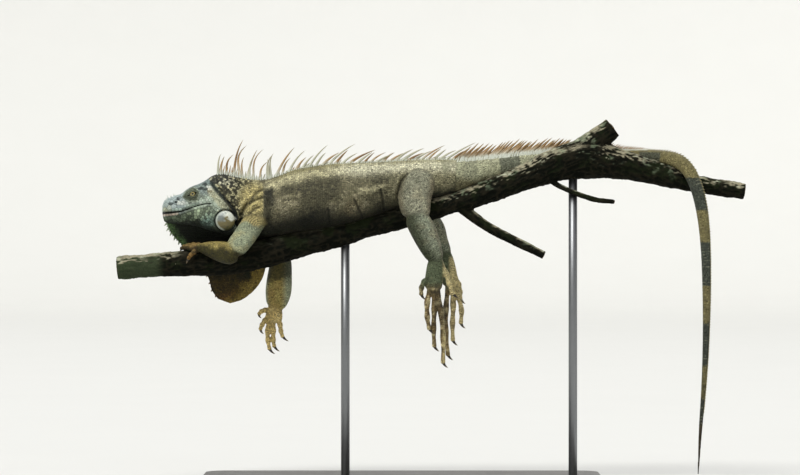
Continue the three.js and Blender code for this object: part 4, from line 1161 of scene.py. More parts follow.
def arm_colour(p, n, mottle, part):
    """Pale grey from the shoulder to a slanting line over the elbow, and tan below it, with painted shade
    where it faces down.
    """
    x, y, z = p.T
    left, right = y < 0, y > 0
    if part == UPPER_ARM:
        # the shoulder's tan comes down over its top, and ends in wrinkles that arch round the armpit
        line = np.where(left, np.interp(x, (-253, -231, -214), (382, 391, 380)), 389)
        stripe = np.sin(np.hypot(x + 212, z - 384) * 1.75 + 1.5 * mottle)
        near = rise(z, 377, 5) * fall(z, 405, 6) * fall(x, -206, 5) * rise(x, -238, 10)
        c = layered(
            all_over(ARM_PALE, p),
            (SHOULDER_TAN * 0.8, smooth((z - line + 4 * mottle) / 5)),
            (SHOULDER_BAR, smooth(stripe * 1.4) * near * left * 0.6),
            (SHOULDER_TAN, smooth(-mottle * 1.6) * 0.3),
            # painted shade on the rear-facing side of the left upper arm
            (LIMB_DARK, smooth(n[:, 0] * 1.1 - 0.2) * left * 0.5),
        )
    else:
        edge = smooth((np.abs(n[:, 0]) - 0.45) / 0.5)
        c = layered(
            # painted light: the forearm's tan is brightened by a quarter, for the lit right forearm
            blend_in(all_over(FOREARM_TAN, p), HAND_TAN, smooth(mottle * 1.6 + 0.6) * 0.5) * 1.25,
            (ARM_PALE, right * np.maximum(edge, rise(x, -184, 12)) * 0.9),
            # painted shadow: the top of the hanging right forearm is darkened as if under the branch's shadow
            (FOREARM_SHADE, right * smooth((z - 296 - 8 * mottle) / 16) * 0.8),
        )
    tan = layered(
        all_over(FOREARM_TAN, p),
        (HAND_TAN, smooth(mottle * 1.6) * 0.4),
        # painted shade: the forearm darkens where it faces down
        (FOREARM_SHADE, smooth((0.8 - n[:, 2] + 0.3 * mottle) / 0.75) * 0.9),
    )
    elbow = np.interp(x, (-266, -241, -230), (372, 351, 347))
    return blend_in(c, tan, smooth((elbow - z + 5 * mottle) / 9) * left)


def leg_colour(p, n, mottle, part):
    edge = smooth((np.abs(n[:, 0]) - 0.45) / 0.5)
    # painted shade: the legs darken where they face forwards, and the shank towards its foot
    front = fall(n[:, 0], 0.42, 0.85) if part == SHANK else smooth(-n[:, 0] * 1.2 - 0.3) * 0.4
    return layered(
        all_over(SHANK_GREY if part == SHANK else THIGH_GREY, p),
        (FLANK_PALE, smooth(mottle * 1.5) * 0.4),
        (LIMB_DARK, smooth(-mottle * 1.6 - 0.3) * 0.4),
        (LIMB_RUST, edge * 0.35),
        (LEG_SHADE, front * 0.85),
        (LEG_SHADE, fall(p[:, 2], 358, 20) * 0.5),
    )


def hand_colour(p, n):
    left, right, patch = p[:, 1] < 0, p[:, 1] > 0, noise(p, 6, 79)
    return layered(
        # painted shade: the hands darken where they face down
        all_over(HAND_TAN, p) * lerp(0.3, 0.9, smooth(n[:, 2] + 0.1))[:, None],
        # partly its own gold and partly painted light: the right hand is laid over far brighter than the left
        (LIT_HAND_GOLD, right),
        (THUMB, left * fall(p[:, 2], 346, 4)),
        (TOE_PALE, smooth(patch * 1.4 - 0.3) * right * 0.4),
        (TOE_DARK, smooth(-patch * 1.4 - 0.2) * np.where(right, 0.35, 0.55)),
        # painted shade on the left hand's lower and side faces
        (TOE_DARK, smooth(0.9 - n[:, 2]) * left * 0.4),
    )


def foot_colour(p, mottle):
    x, y, z = p.T
    low = smooth((308 - z + 14 * mottle) / 32)
    patch = noise(p, (6.5, 9, 5.2), 77) + 0.4 * noise(p, 2.6, 78)
    gold = smooth((x - np.where(y < 0, 58.5, 69)) / 5) * fall(z, 342, 8)
    # painted shade: the gap between the two feet's toes is darkened
    shade_between_feet = rise(x, 46, 4) * fall(x, 70, 5) * fall(z, 304, 12) * rise(z, 222, 20)
    return layered(
        all_over(FOOT_GREY, p),
        (TOE_BROWN, low),
        (TOE_PALE, smooth(patch * 1.5 + 0.1) * low * 0.8),
        (TOE_GOLD, gold * (0.8 + 0.2 * mottle)),
        (TOE_DARK, smooth(-patch * 1.5 - 0.15) * lerp(0.45, 1, low) * lerp(0.75, 0.4, gold)),
        (TOE_DARK, shade_between_feet * 0.6),
    )


def dewlap_colour(p, mottle):
    x, z = p[:, 0], p[:, 2]
    rear, front = (read_off(edge[::-1], z, 1, 0) for edge in (DEWLAP_REAR, DEWLAP_FRONT))
    rim = smooth((front + 17 + 7 * mottle - x) / 14) * rise(z, 318, 20)
    return layered(
        all_over(DEWLAP_TOP, p),
        (DEWLAP_LOW, smooth((330 - z + 9 * mottle) / 34) * 0.95),
        (DEWLAP_RIM, smooth((292 - z + 8 * mottle) / 26) * 0.7),
        (DEWLAP_REAR_TAN, smooth((x - rear + 30 + 10 * mottle) / 22) * fall(z, 334, 20) * 0.9),
        (DEWLAP_TOP, smooth(-mottle * 1.6 - 0.1) * 0.5),
        (DEWLAP_EDGE, rim * 0.8),
    )


def skin_tint(p, n, skin, edges):
    q, part, luck = skin["centre"], skin["part"], skin["luck"]
    mottle, broad, fine = fractal(q, 11, 61), fractal(q, 34, 67, 2), fractal(p, 3.4, 71, 2)
    tint = np.zeros((len(p), 3))
    for k in np.unique(part).tolist():
        m = part == k
        if k == HEAD_PART:
            tint[m] = head_colour(p[m], q[m], luck[m], mottle[m])
        elif k == TRUNK_PART:
            tint[m] = trunk_colour(p[m], mottle[m], broad[m])
        elif k == TAIL_PART:
            tint[m] = tail_colour(p[m], skin["run"][m], skin["around"][m], mottle[m], fine[m])
        elif k == DEWLAP_PART:
            tint[m] = dewlap_colour(p[m], mottle[m])
        elif k == HAND:
            tint[m] = hand_colour(p[m], n[m])
        elif k == FOOT:
            tint[m] = foot_colour(p[m], mottle[m])
        else:
            limb_colour = arm_colour if k in (UPPER_ARM, FOREARM) else leg_colour
            tint[m] = limb_colour(p[m], n[m], mottle[m], k)
    tint = relaxed(tint, edges, 10, 0.7 * skin["joint"] * (1 - fall(p[:, 0], -284, 6)))
    head, body = part == HEAD_PART, np.isin(part, BODY)
    tint = np.where(body[:, None], neck_colour(tint, q, luck, mottle), tint)
    tint = np.where(head[:, None], lid_colour(tint, p), tint)
    out = np.abs(n[:, 1]) > 0.2
    d, at, length = distance_to_line(p, MOUTH)
    slit = lerp(1.9, 0.75, smooth(at / length * 1.5))
    # painted shade: the creases of the neck, shoulder, flank and thigh folds are darkened along their lines
    folds = [(DARK_MARK, body * near_line(p, NECK_FOLD, 2.9) * 0.9)]
    folds += [(SHOULDER_BAR, body * near_line(p, line, 2.2) * 0.65) for line in SHOULDER_FOLDS]
    for line in FLANK_FOLDS + [THIGH_FOLD]:
        folds.append((BELLY_SHADE, body * (p[:, 1] < 0) * near_line(p, line, 2.0) * 0.75))
    tint = layered(
        tint,
        *folds,
        # painted shade in the groove round the shield
        (DARK_MARK, body * bump(within(p, SHIELD, SOCKET_GAP), 1.02, 0.11) * out * 0.95),
        (WHITE_SCALE, spot(p, PEARL["x"], PEARL["z"], 3.2, 3.2, 0.2) * out * body * 0.7),
        # painted shade inside the nostril and along the mouth slit
        (RECESS_SHADE, smooth(1.5 - within(p, NOSTRIL)) * head),
        (JOWL, body * out * bump(within(p, EAR), 1.1, 0.16) * 0.6),
        (RECESS_SHADE, smooth(1.5 - d / slit) * head * (p[:, 0] < -284)),
        (CREAM, skin["nub"] * 0.5),
    )
    jowl = fall(q[:, 2], 416, 8) * rise(q[:, 2], 386, 8) * fall(q[:, 0], -252, 8)
    shade = 1 + (0.5 + 0.5 * jowl) * (luck[:, 1] - 0.5)
    return np.clip(tint * (shade * lerp(0.4 - 0.25 * jowl, 1 + 0.2 * jowl, skin["edge"]))[:, None], 0, 1)


def skin_fleck(p, part, mottle):
    """The share of single scales that are far paler or darker than the skin round them."""
    share = np.full(len(p), 0.16)
    for k, flecks in ((TRUNK_PART, 0.24), (DEWLAP_PART, 0.1), (FOREARM, 0.1), (UPPER_ARM, 0.05)):
        share[part == k] = flecks
    share = share * (1 + 0.8 * mottle)
    return np.where(p[:, 0] < -232, np.minimum(share, 0.03 + 0.1 * (part > TAIL_PART)), share)


def skin_lattice(p, skin):
    """Places counted in scales: rows along and round the limbs, trunk and tail, and pebbles on the head."""
    lattice = p / 1.1

    def rows(k, along, across):
        m = skin["part"] == k
        u, v = skin["run"][m] / along, skin["around"][m] / across
        if k in (UPPER_ARM, FOREARM, THIGH, SHANK):
            u, v = (u + v) * 0.72, (u - v) * 0.72
        lattice[m] = np.stack([u, v, np.full(len(u), 0.5)], 1)

    sizes = {TRUNK_PART: 2.2, TAIL_PART: 2.2, UPPER_ARM: 1.8, FOREARM: 2.2, THIGH: 2.4, SHANK: 2.5}
    for k, size in sizes.items():
        rows(k, size, size * (0.8 if k == TAIL_PART else 0.95))
    for k in PAWS:
        rows(k, 1.55, 2.2)
    dewlap = skin["part"] == DEWLAP_PART
    lattice[dewlap] = p[dewlap] / 2.6
    return lattice


# Materials


class Finish:
    """A material built from named node calls. Sockets take numbers, colours or other nodes' outputs."""

    def __init__(self, name, **settings):
        self.material = bpy.data.materials.new(name)
        self.material.use_nodes = True
        self.tree = self.material.node_tree
        self.surface = self.tree.nodes["Principled BSDF"]
        for socket, value in settings.items():
            self.set(socket.replace("_", " "), value)

    def put(self, node, socket, value):
        field = node.inputs[socket]
        if isinstance(value, bpy.types.NodeSocket):
            self.tree.links.new(value, field)
        elif isinstance(value, (np.ndarray, tuple)):
            field.default_value = (*value, 1) if len(field.default_value) == 4 else tuple(value)
        else:
            field.default_value = value

    def set(self, socket, value):
        self.put(self.surface, socket, value)

    def node(self, kind, inputs, **settings):
        node = self.tree.nodes.new("ShaderNode" + kind)
        for key, value in settings.items():
            setattr(node, key, value)
        for socket, value in inputs.items():
            self.put(node, socket, value)
        return node.outputs

    def attribute(self, name, kind="Fac"):
        return self.node("Attribute", {}, attribute_name=name)[kind]

    def math(self, operation, a, b):
        return self.node("Math", {0: a, 1: b}, operation=operation)[0]

    def ranged(self, value, low, high, to_low=0.0, to_high=1.0, kind="SMOOTHSTEP"):
        inputs = {"Value": value, "From Min": low, "From Max": high, "To Min": to_low, "To Max": to_high}
        return self.node("MapRange", inputs, interpolation_type=kind)[0]

    def mixed(self, amount, a, b, blend="MIX"):
        return self.node("Mix", {0: amount, 6: a, 7: b}, data_type="RGBA", blend_type=blend)[2]

    def place(self):
        return self.node("TexCoord", {})["Object"]

    def noise(self, vector, scale, detail=3.0, roughness=0.55):
        inputs = {"Vector": vector, "Scale": scale, "Detail": detail, "Roughness": roughness}
        return self.node("TexNoise", inputs)[0]

    def cells(self, vector, feature):
        return self.node("TexVoronoi", {"Vector": vector, "Scale": 1.0, "Randomness": 0.6}, feature=feature)

    def bump(self, height, strength, distance, **below):
        return self.node("Bump", {"Height": height, "Strength": strength, "Distance": distance, **below})[0]

    def shaded_tint(self, shade):
        """The vertices' colours, each times a shade."""
        grey = self.node("CombineColor", {0: shade, 1: shade, 2: shade})[0]
        self.set("Base Color", self.mixed(1.0, self.attribute("tint", "Color"), grey, "MULTIPLY"))

    def on(self, ob):
        ob.data.materials.clear()
        ob.data.materials.append(self.material)
        return ob


def skin_finish():
    """Domed scales, each with its own shade, and here and there one far paler or darker."""
    f = Finish("iguana_hide", Roughness=0.6, Specular_IOR_Level=0.2)
    lattice, grain = f.attribute("lattice", "Vector"), f.attribute("grain")
    border = f.cells(lattice, "DISTANCE_TO_EDGE")["Distance"]
    lots = f.node("SeparateColor", {0: f.cells(lattice, "F1")["Color"]})
    pale, dark = (f.math("LESS_THAN", lots[k], f.attribute("fleck")) for k in (1, 2))
    flecks = f.math("SUBTRACT", f.math("MULTIPLY", pale, 0.42), f.math("MULTIPLY", dark, 0.36))
    tone = f.math("ADD", f.ranged(lots[0], 0.0, 1.0, 0.7, 1.3, "LINEAR"), flecks)
    tone = f.math("MULTIPLY", tone, f.ranged(border, 0.0, 0.15, 0.35, 1.06))
    tone = f.math("ADD", f.math("MULTIPLY", f.math("SUBTRACT", tone, 1.0), grain), 1.0)
    dust = f.ranged(f.noise(f.place(), 420.0), 0.3, 0.7, 0.9, 1.1, "LINEAR")
    f.shaded_tint(f.math("MULTIPLY", tone, dust))
    fine = f.bump(f.noise(f.place(), 1400.0, 2.0), 0.25, 0.00015)
    f.set("Normal", f.bump(f.math("MULTIPLY", f.ranged(border, 0.0, 0.36), grain), 0.9, 0.00065, Normal=fine))
    f.set("Roughness", f.ranged(lots[0], 0.0, 1.0, 0.5, 0.68, "LINEAR"))
    return f


def tinted_finish(name, roughness, size, strength, spread=0.16, **settings):
    """A surface coloured by its vertices, with fine streaks and pits of the given size in metres."""
    f = Finish(name, Roughness=roughness, **settings)
    grain = f.noise(f.place(), 1 / size, 4.0)
    f.shaded_tint(f.ranged(grain, 0.25, 0.75, 1 - spread, 1 + spread, "LINEAR"))
    f.set("Normal", f.bump(grain, strength, size * 0.3))
    f.set("Roughness", f.ranged(grain, 0.2, 0.8, roughness - 0.08, roughness + 0.1, "LINEAR"))
    return f


# Spines, horns and claws


class Thorns:
    """Many tapered, curved spines in one mesh, each with its colours from root to tip."""

    def __init__(self):
        self.points, self.faces, self.tints = [], [], []
        self.total = 0

    def add(self, root, along, bend, length, broad, thick, across, colours, curl=(0, 0, 0),
            rings=12, sides=8, power=0.6, stops=(0.12, 0.3, 0.6, 1), flare=0.45):
        along, root = np.asarray(along, float), np.asarray(root, float)
        bend, curl = np.asarray(bend, float), np.asarray(curl, float)
        side = unit(np.asarray(across, float) - along * (np.dot(across, along)))
        s = np.linspace(0, 1, rings) ** 0.9
        centre = root + length * (along * s[:, None] + bend * s[:, None] ** 2 + curl * s[:, None] ** 3)
        heading = unit(along + 2 * bend * s[:, None] + 3 * curl * s[:, None] ** 2)
        edge = unit(np.cross(heading, side))
        taper = np.maximum(1 - s, 0) ** power * (1 + flare * bump(s, 0, 0.14))
        taper[-1] = 0.012
        angle = circle(sides)
        cosine, sine = np.cos(angle), np.sin(angle)
        ring = (
            centre[:, None]
            + side * (cosine * thick)[None, :, None] * taper[:, None, None]
            + edge[:, None] * (sine * broad)[None, :, None] * taper[:, None, None]
        )
        first = self.total
        self.points.append(ring.reshape(-1, 3))
        self.faces += grid_faces(rings, sides, first).tolist()
        self.faces.append(list(range(first, first + sides))[::-1])
        end = first + (rings - 1) * sides
        self.faces.append(list(range(end, end + sides)))
        height = np.repeat(s, sides)
        tint = np.stack([np.interp(height, stops, [c[k] for c in colours]) for k in range(3)], 1)
        places = np.stack([height * 3, np.tile(angle, rings) * 1.3, height * 0 + first], 1)
        streak = 1 + 0.14 * noise(places, 0.6, 3)
        self.tints.append(np.clip(tint * streak[:, None], 0, 1))
        self.total += rings * sides

    def build(self, name):
        ob = object_from(name, np.vstack(self.points), self.faces)
        store(ob.data, "tint", np.vstack(self.tints))
        return ob


def spine_colours(luck, tail=False):
    """Root, lower, upper and tip colours. Some spines are pale all along, some brown, some dark."""
    if tail:
        mid = lerp(CREST_TAIL, SPINE_MID, luck)
        return [SPINE_ROOT, lerp(SPINE_ROOT, mid, 0.6), mid, lerp(mid, SPINE_TIP, 0.6)]
    if luck < 0.45:
        return [SPINE_ROOT, lerp(SPINE_ROOT, SPINE_PALE, 0.7), SPINE_PALE, lerp(SPINE_PALE, SPINE_TIP, 0.7)]
    if luck < 0.82:
        return [SPINE_ROOT, lerp(SPINE_ROOT, SPINE_MID, 0.55), SPINE_MID, SPINE_TIP]
    return [SPINE_ROOT, lerp(SPINE_MID, SPINE_DARK, 0.4), SPINE_DARK, lerp(SPINE_MID, SPINE_TIP, 0.5)]


def crest_shape(x, draw):
    nape = lerp(0.45, 1, rise(x, -278, 16))
    neck = fall(x, -158, 50)
    tall = 1 if draw(0, 1) < lerp(0.3, 0.55, neck) else lerp(0.66, 0.55, neck)
    length = lerp(42, 54, neck) * nape * tall * draw(0.88, 1.12)
    lean = lerp(lerp(0.95, 0.62, fall(x, -40, 110)), 0.08, neck) + draw(-0.14, 0.14)
    return float(length), float(lean), float(neck)


def back_spines(thorns, ridge, x, draw, luck):
    """One tall spine with the short ones before and behind it and the pale cones on its flanks."""
    length, lean, neck = crest_shape(x, draw)
    along = unit([math.sin(lean), draw(-0.13, 0.13), math.cos(lean)])
    bend = np.array((draw(-0.08, 0.2), draw(-0.08, 0.08), -0.05))
    root = np.array([x, 0, read_off(ridge, x)]) - along * CREST["root"]
    curl = (luck.uniform(0.1, 0.95) * lerp(0.55, 1, neck), luck.uniform(-0.1, 0.1), 0)
    slim = luck.uniform(0.8, 1.1)
    thorns.add(root, along, bend - np.array([curl[0], 0, 0]), length + CREST["root"], CREST["broad"] * slim,
               CREST["thick"], (0, 1, 0), spine_colours(luck.random()), curl)
    for step in (-3.1, 3.1):
        tallish = luck.random() < 0.28 * neck
        short = luck.uniform(0.6, 0.95) * 44 if tallish else luck.uniform(0.14, 0.4) * lerp(34, 44, neck)
        tilt = lean + luck.uniform(-0.12, 0.12)
        sx = x + step + luck.uniform(-0.5, 0.5)
        base = np.array([sx, luck.uniform(-0.5, 0.5), read_off(ridge, sx) - 2.5])
        along = unit([math.sin(tilt), luck.uniform(-0.12, 0.12), math.cos(tilt)])
        arch = luck.uniform(0.1, 0.7) * tallish
        thorns.add(base, along, (0.06 - arch, 0, -0.03), short + 2.5, luck.uniform(1.5, 2.0) + 0.4 * tallish,
                   0.95, (0, 1, 0), spine_colours(luck.random() * 0.8), (arch, 0, 0), rings=11)
    for side, step in product((-1, 1), (-3.5, 0.2, 3.6)):
        sx = x + step + luck.uniform(-0.5, 0.5)
        base = np.array([sx, side * 2.7, read_off(ridge, sx) - 2.6])
        along = unit([math.sin(lean) * 0.6, side * 0.2, 1])
        tall = lerp(5, 8.5, neck) * luck.uniform(0.8, 1.25) + 1.5
        white = lerp(SPINE_ROOT, WHITE_SCALE, luck.random() * neck)
        thorns.add(base, along, (0.08, 0, 0), tall, 1.5, 1.1, (0, 1, 0),
                   [white, white, SPINE_ROOT, lerp(SPINE_ROOT, SPINE_TIP, 0.6)], rings=7, sides=7)


def crest():
    """The tall spines of nape, neck and back, the short ones between them, and the tail's saw edge."""
    thorns, draw, luck = Thorns(), Draws(CREST["seed"]), np.random.default_rng(3)
    ridge = drawn(TRUNK, 600)
    stops = (0, SHOULDER_ROW, WAIST_ROW, len(TRUNK) - 1)
    for low, high in zip(stops, stops[1:]):
        start, end = TRUNK[low][0] + CREST["start"], TRUNK[high][0] - CREST["end"]
        count = math.floor((end - start) / CREST["spacing"])
        for n in range(count + 1):
            back_spines(thorns, ridge, lerp(start, end, n / count), draw, luck)
    tail_crest(thorns, luck)
    return thorns.build("crest_spines")


def tail_crest(thorns, luck):
    t, _ = spaced(TAIL, 4.1)
    values = curve(TAIL, t)
    lines = zip(t, values, *carried(values[:, :3], (0, 0, 1)))
    for t, row, ahead, top, side in lines:
        if t < 1.05 or t > 20.5:
            continue
        fade = float(fall(t, 8.8, 4.6))
        length = lerp(3.2, 31, fade) * luck.uniform(0.78, 1.12)
        if t > 13:
            length = lerp(3.2, 1.4, (t - 13) / 7.5)
        lean = lerp(0.75, 0.92, fade) + luck.uniform(-0.06, 0.06)
        along = unit(ahead * math.sin(lean) + top * math.cos(lean) + side * luck.uniform(-0.07, 0.07))
        sink = min(3.4, 0.5 * row[4])
        root = row[:3] + top * row[4] - along * sink
        tone = spine_colours(luck.random(), True) if fade > 0.02 else [TAIL_BROWN] * 3 + [SPINE_TIP]
        thorns.add(root, along, ahead * 0.08, length + sink, lerp(1.7, 2.6, fade), lerp(0.7, 0.95, fade),
                   side, tone, side * luck.uniform(-0.05, 0.05), rings=9)
        if fade > 0.02:
            comb_scales(thorns, luck, row, ahead, top, side, fade)


def comb_scales(thorns, luck, row, ahead, top, side, fade):
    """Pale scales standing in a comb on both flanks of the tail's crest."""
    for s, step in product((-1, 1), (-1, 1)):
        lift = lerp(0.94, 0.86, fade) + luck.uniform(-0.03, 0.03)
        out = math.sqrt(1 - lift**2) * row[3]
        root = row[:3] + top * (row[4] * lift - 1.2) + side * s * (out - 0.4) + ahead * step
        along = unit(top + ahead * luck.uniform(0.35, 0.6) - side * s * 0.25)
        thorns.add(root, along, (0, 0, 0), lerp(4, 10.5, fade) * luck.uniform(0.75, 1.15), 1.15, 0.8, side,
                   [SPINE_ROOT, SPINE_ROOT, WHITE_SCALE, SPINE_PALE], rings=6, sides=7)


def snout_horns():
    thorns = Thorns()
    for x, z, length, out in (
        (-350, 426.2, 5.5, 0), (-345.5, 428, 4.2, 3.2), (-341, 429.8, 5, 0),
        (-352.5, 424.8, 2.6, 3.6), (-338.5, 430.4, 2.4, 3.8),
    ):
        for y in (-out, out) if out else (0,):
            thorns.add((x, y, z - 2), unit([-0.25, 0, 1]), (-0.1, 0, 0), length + 2, 1.8, 1.5, (0, 1, 0),
                       [SNOUT, SNOUT, WHITE_SCALE, WHITE_SCALE], rings=9, sides=12, power=0.8)
    return thorns.build("snout_horns")


def dewlap_spikes():
    thorns, luck = Thorns(), np.random.default_rng(9)
    count = DEWLAP["spikes"] * 2 - 1
    for k in range(count):
        share = k / (count - 1)
        t = lerp(1.1, 8.6, share)
        (x, z), (ax, az) = curve(DEWLAP_FRONT, t)[0], curve(DEWLAP_FRONT, t + 0.05)[0]
        down = unit([ax - x, 0, az - z])
        out = np.array([down[2], 0, -down[0]])
        small = 1 if k % 2 == 0 else 0.6
        root = np.array([x, dewlap_swing(x, z), z]) - out * 3
        colours = [JAW, JAW_PALE, JAW_PALE, SPINE_ROOT]
        if share > 0.55:
            colours = [DEWLAP_LOW, DEWLAP_LOW, DEWLAP_RIM, SPINE_TIP]
        thorns.add(root, unit(out + down * 0.35), down * 0.15, lerp(8.5, 5.6, share) * small, 2.2, 0.85,
                   (0, 1, 0), colours, (0, luck.uniform(-0.1, 0.1), 0), rings=8)
    return thorns.build("dewlap_spikes")


def claws():
    thorns = Thorns()
    horn, dark, pale = srgb(96, 80, 58), srgb(38, 30, 22), srgb(120, 104, 78)
    for foot in FEET.values():
        for *_, joint, tip in np.array(foot["digits"], float):
            heading = unit(tip - joint)
            across = (1, 0, 0) if abs(heading[1]) > 0.8 else (0, 1, 0)
            hook = unit(foot["claw"]) * 0.55 - heading * 0.35
            thorns.add(tip - heading * 3.5, heading, hook, foot["nail"], foot["digit"] * 0.74,
                       foot["digit"] * 0.54, across, [horn, dark, dark, pale],
                       rings=14, sides=14, power=0.65, flare=0)
    return thorns.build("claws")


def eyes():
    """Each ball bulges a little at the cornea and looks out through the lids."""
    count = sides = 72
    theta, phi = np.linspace(0, np.pi, count), circle(sides)
    radius = EYE["radius"] + 0.35 * bump(theta, 0, 0.55)
    ahead, out = (np.cos(theta) * radius)[:, None, None], (np.sin(theta) * radius)[:, None, None]
    across, up = np.cos(phi), np.sin(phi)
    streaks = [np.tile(across, count) * 3, np.tile(up, count) * 3, np.repeat(theta, sides) * 2]
    for name, side in SIDES.items():
        gaze = unit([0.24, side * 0.95, 0.1])
        u = unit(np.cross(gaze, (0, 0, 1)))
        v = np.cross(u, gaze)
        ring = gaze * ahead + u * out * across[None, :, None] + v * out * up[None, :, None]
        points = ring.reshape(-1, 3) + np.array([EYE["x"], side * EYE["y"], EYE["z"]])
        ob = object_from(f"eyeball_{name}", points, grid_faces(count, sides))
        store(ob.data, "ring", np.repeat(theta, sides))
        store(ob.data, "fibre", noise(np.stack(streaks, 1), 0.35, 5))
        yield ob


def eye_finish():
    f = Finish("iguana_eye", Roughness=0.06, Coat_Weight=1.0, Coat_Roughness=0.03)
    ring, fibre = f.attribute("ring"), f.attribute("fibre")
    iris = f.mixed(f.ranged(ring, 0.26, 0.75), srgb(172, 160, 98), srgb(98, 92, 60))
    iris = f.mixed(f.ranged(fibre, -0.2, 0.8, 0.0, 0.6), iris, srgb(64, 52, 28))
    iris = f.mixed(f.ranged(ring, 0.22, 0.28, 1.0, 0.0), iris, srgb(198, 190, 132))
    iris = f.mixed(f.ranged(ring, 0.6, 0.8), iris, srgb(34, 30, 20))
    f.set("Base Color", f.mixed(f.ranged(ring, 0.225, 0.25, 1.0, 0.0), iris, srgb(5, 4, 4)))
    return f


def shields():
    """The great round plate below each ear, domed, with faint rings of growth."""
    sides = 96
    rho, phi = np.concatenate([np.linspace(0.01, 1, 34), [1.0, 0.9]]), circle(sides)
    tan, olive, white, lilac = srgb(104, 95, 58), srgb(55, 56, 31), srgb(206, 210, 198), srgb(109, 118, 116)
    for name, side in SIDES.items():
        x = np.outer(rho, np.cos(phi)) * SHIELD["wide"]
        z = np.outer(rho, np.sin(phi)) * SHIELD["high"]
        wobble = 0.05 * np.sin(rho * 30)[:, None] + 0.14 * noise(np.stack([x, z, x * 0], -1), 3.2, 15)
        dome = 5.2 * np.maximum(1 - rho**2.2, 0)[:, None] ** 0.8 + wobble * (rho < 0.99)[:, None]
        dome[-2:] -= np.array([[1.2], [3.6]])
        y = side * (SHIELD["y"] + 0.5 + dome + -0.06 * x)
        points = np.stack([SHIELD["x"] + x, y, SHIELD["z"] + z], -1).reshape(-1, 3)
        faces = grid_faces(len(rho), sides).tolist() + [list(range(sides))]
        ob = object_from(f"shield_{name}", points, faces)
        u, v = x.ravel() / SHIELD["wide"], z.ravel() / SHIELD["high"]
        blur = 0.16 * noise(points, 7, 19) + 0.2 * noise(points, 2.6, 20) + 0.12 * noise(points, 1.1, 23)
        rim = smooth((np.hypot(u, v) - 0.74) / 0.16) * fall(u, 0.1, 0.5)
        tint = layered(
            all_over(tan, u),
            (olive, smooth((-v - 0.25 + blur) / 0.6)),
            (white, smooth((v + 0.35 * u - 0.1 + blur) / 0.4)),
            (lilac, smooth((-u + 0.2 + blur) / 0.45) * rise(v, -0.25, 0.4) * 0.92),
            (srgb(168, 176, 164), rim * 0.75),
        )
        shade = 1 + 0.2 * noise(points, 1.2, 21) + 0.14 * noise(points, 3.4, 22)
        store(ob.data, "tint", tint * shade[:, None])
        yield ob


# The perch, with knots at these x that stand so high


KNOTS = ((-352, 2.4), (-130, 2.2), (150, 3.2), (228, 3.0), (352, 2.2), (452, 1.8))


def sawn_ends(p, n, heading):
    """How fully each point lies in a sawn face, and how many radii it is from the pith."""
    cut, core = np.zeros(len(p)), np.zeros(len(p))
    facing = smooth((np.abs((n * heading).sum(1)) - 0.5) / 0.3)
    for *middle, radius in (BRANCH[0], BRANCH[-1], FORK[-1], SIDE_BRANCH[-1], TWIG[-1]):
        away = np.linalg.norm(p - np.array(middle), axis=1)
        face = (away < radius * 1.3) * facing
        cut = np.maximum(cut, face)
        core = np.where(face > 0.1, away / radius, core)
    return cut, core


def bark_tint(p, n, ridge, flake, cut, core):
    # the near-black under-colour is partly the bark's own and partly painted shade
    dark, brown, moss, lichen = srgb(12, 14, 9), srgb(36, 33, 24), srgb(26, 33, 16), srgb(120, 132, 108)
    x, up = p[:, 0], n[:, 2]
    top = smooth((up - 0.45 - 0.2 * flake) / 0.3)
    # sunlit: 1 away from the animal and low under its body, a painted shadow of the animal on the branch
    sunlit = 1 - 0.9 * rise(x, -345, 20) * fall(x, 52, 20)
    spots = fractal(p, (13, 9, 9), 95, 3) + 0.3 * noise(p, 3, 96)
    rings = 0.5 + 0.5 * np.sin(core * 34 + 1.5 * noise(p, 9, 99))
    wood = blend_in(all_over(srgb(150, 120, 82), p), srgb(98, 72, 46), rings * 0.7)
    return layered(
        all_over(dark, p),
        (brown, smooth(ridge * 0.9 + 0.3 * flake) * 0.75),
        (moss, smooth(fractal(p, 18, 91) * 2.2) * smooth(up * 0.8 + 0.7) * 0.7),
        (srgb(74, 86, 62), fall(x, -352, 18) * 0.45),
        # painted light: the brown and pale coats on the tops of the branch stand for the light falling on
        # them
        (brown, top * 0.8 * sunlit),
        (srgb(158, 152, 128), top * sunlit * smooth(fractal(p, (22, 9, 9), 93) * 1.4 + 0.55) * 0.85),
        (lichen, smooth((spots - 0.52 + 0.3 * top) / 0.3) * smooth(up + 0.3) * 0.5 * sunlit),
        (srgb(176, 180, 156), smooth((fractal(p, (9, 6, 6), 97) - 0.35) / 0.3) * top * sunlit * 0.7),
        (wood, rise(cut, 0.2, 0.4)),
        (dark, rise(core, 0.86, 0.1) * (cut > 0.2)),
    )


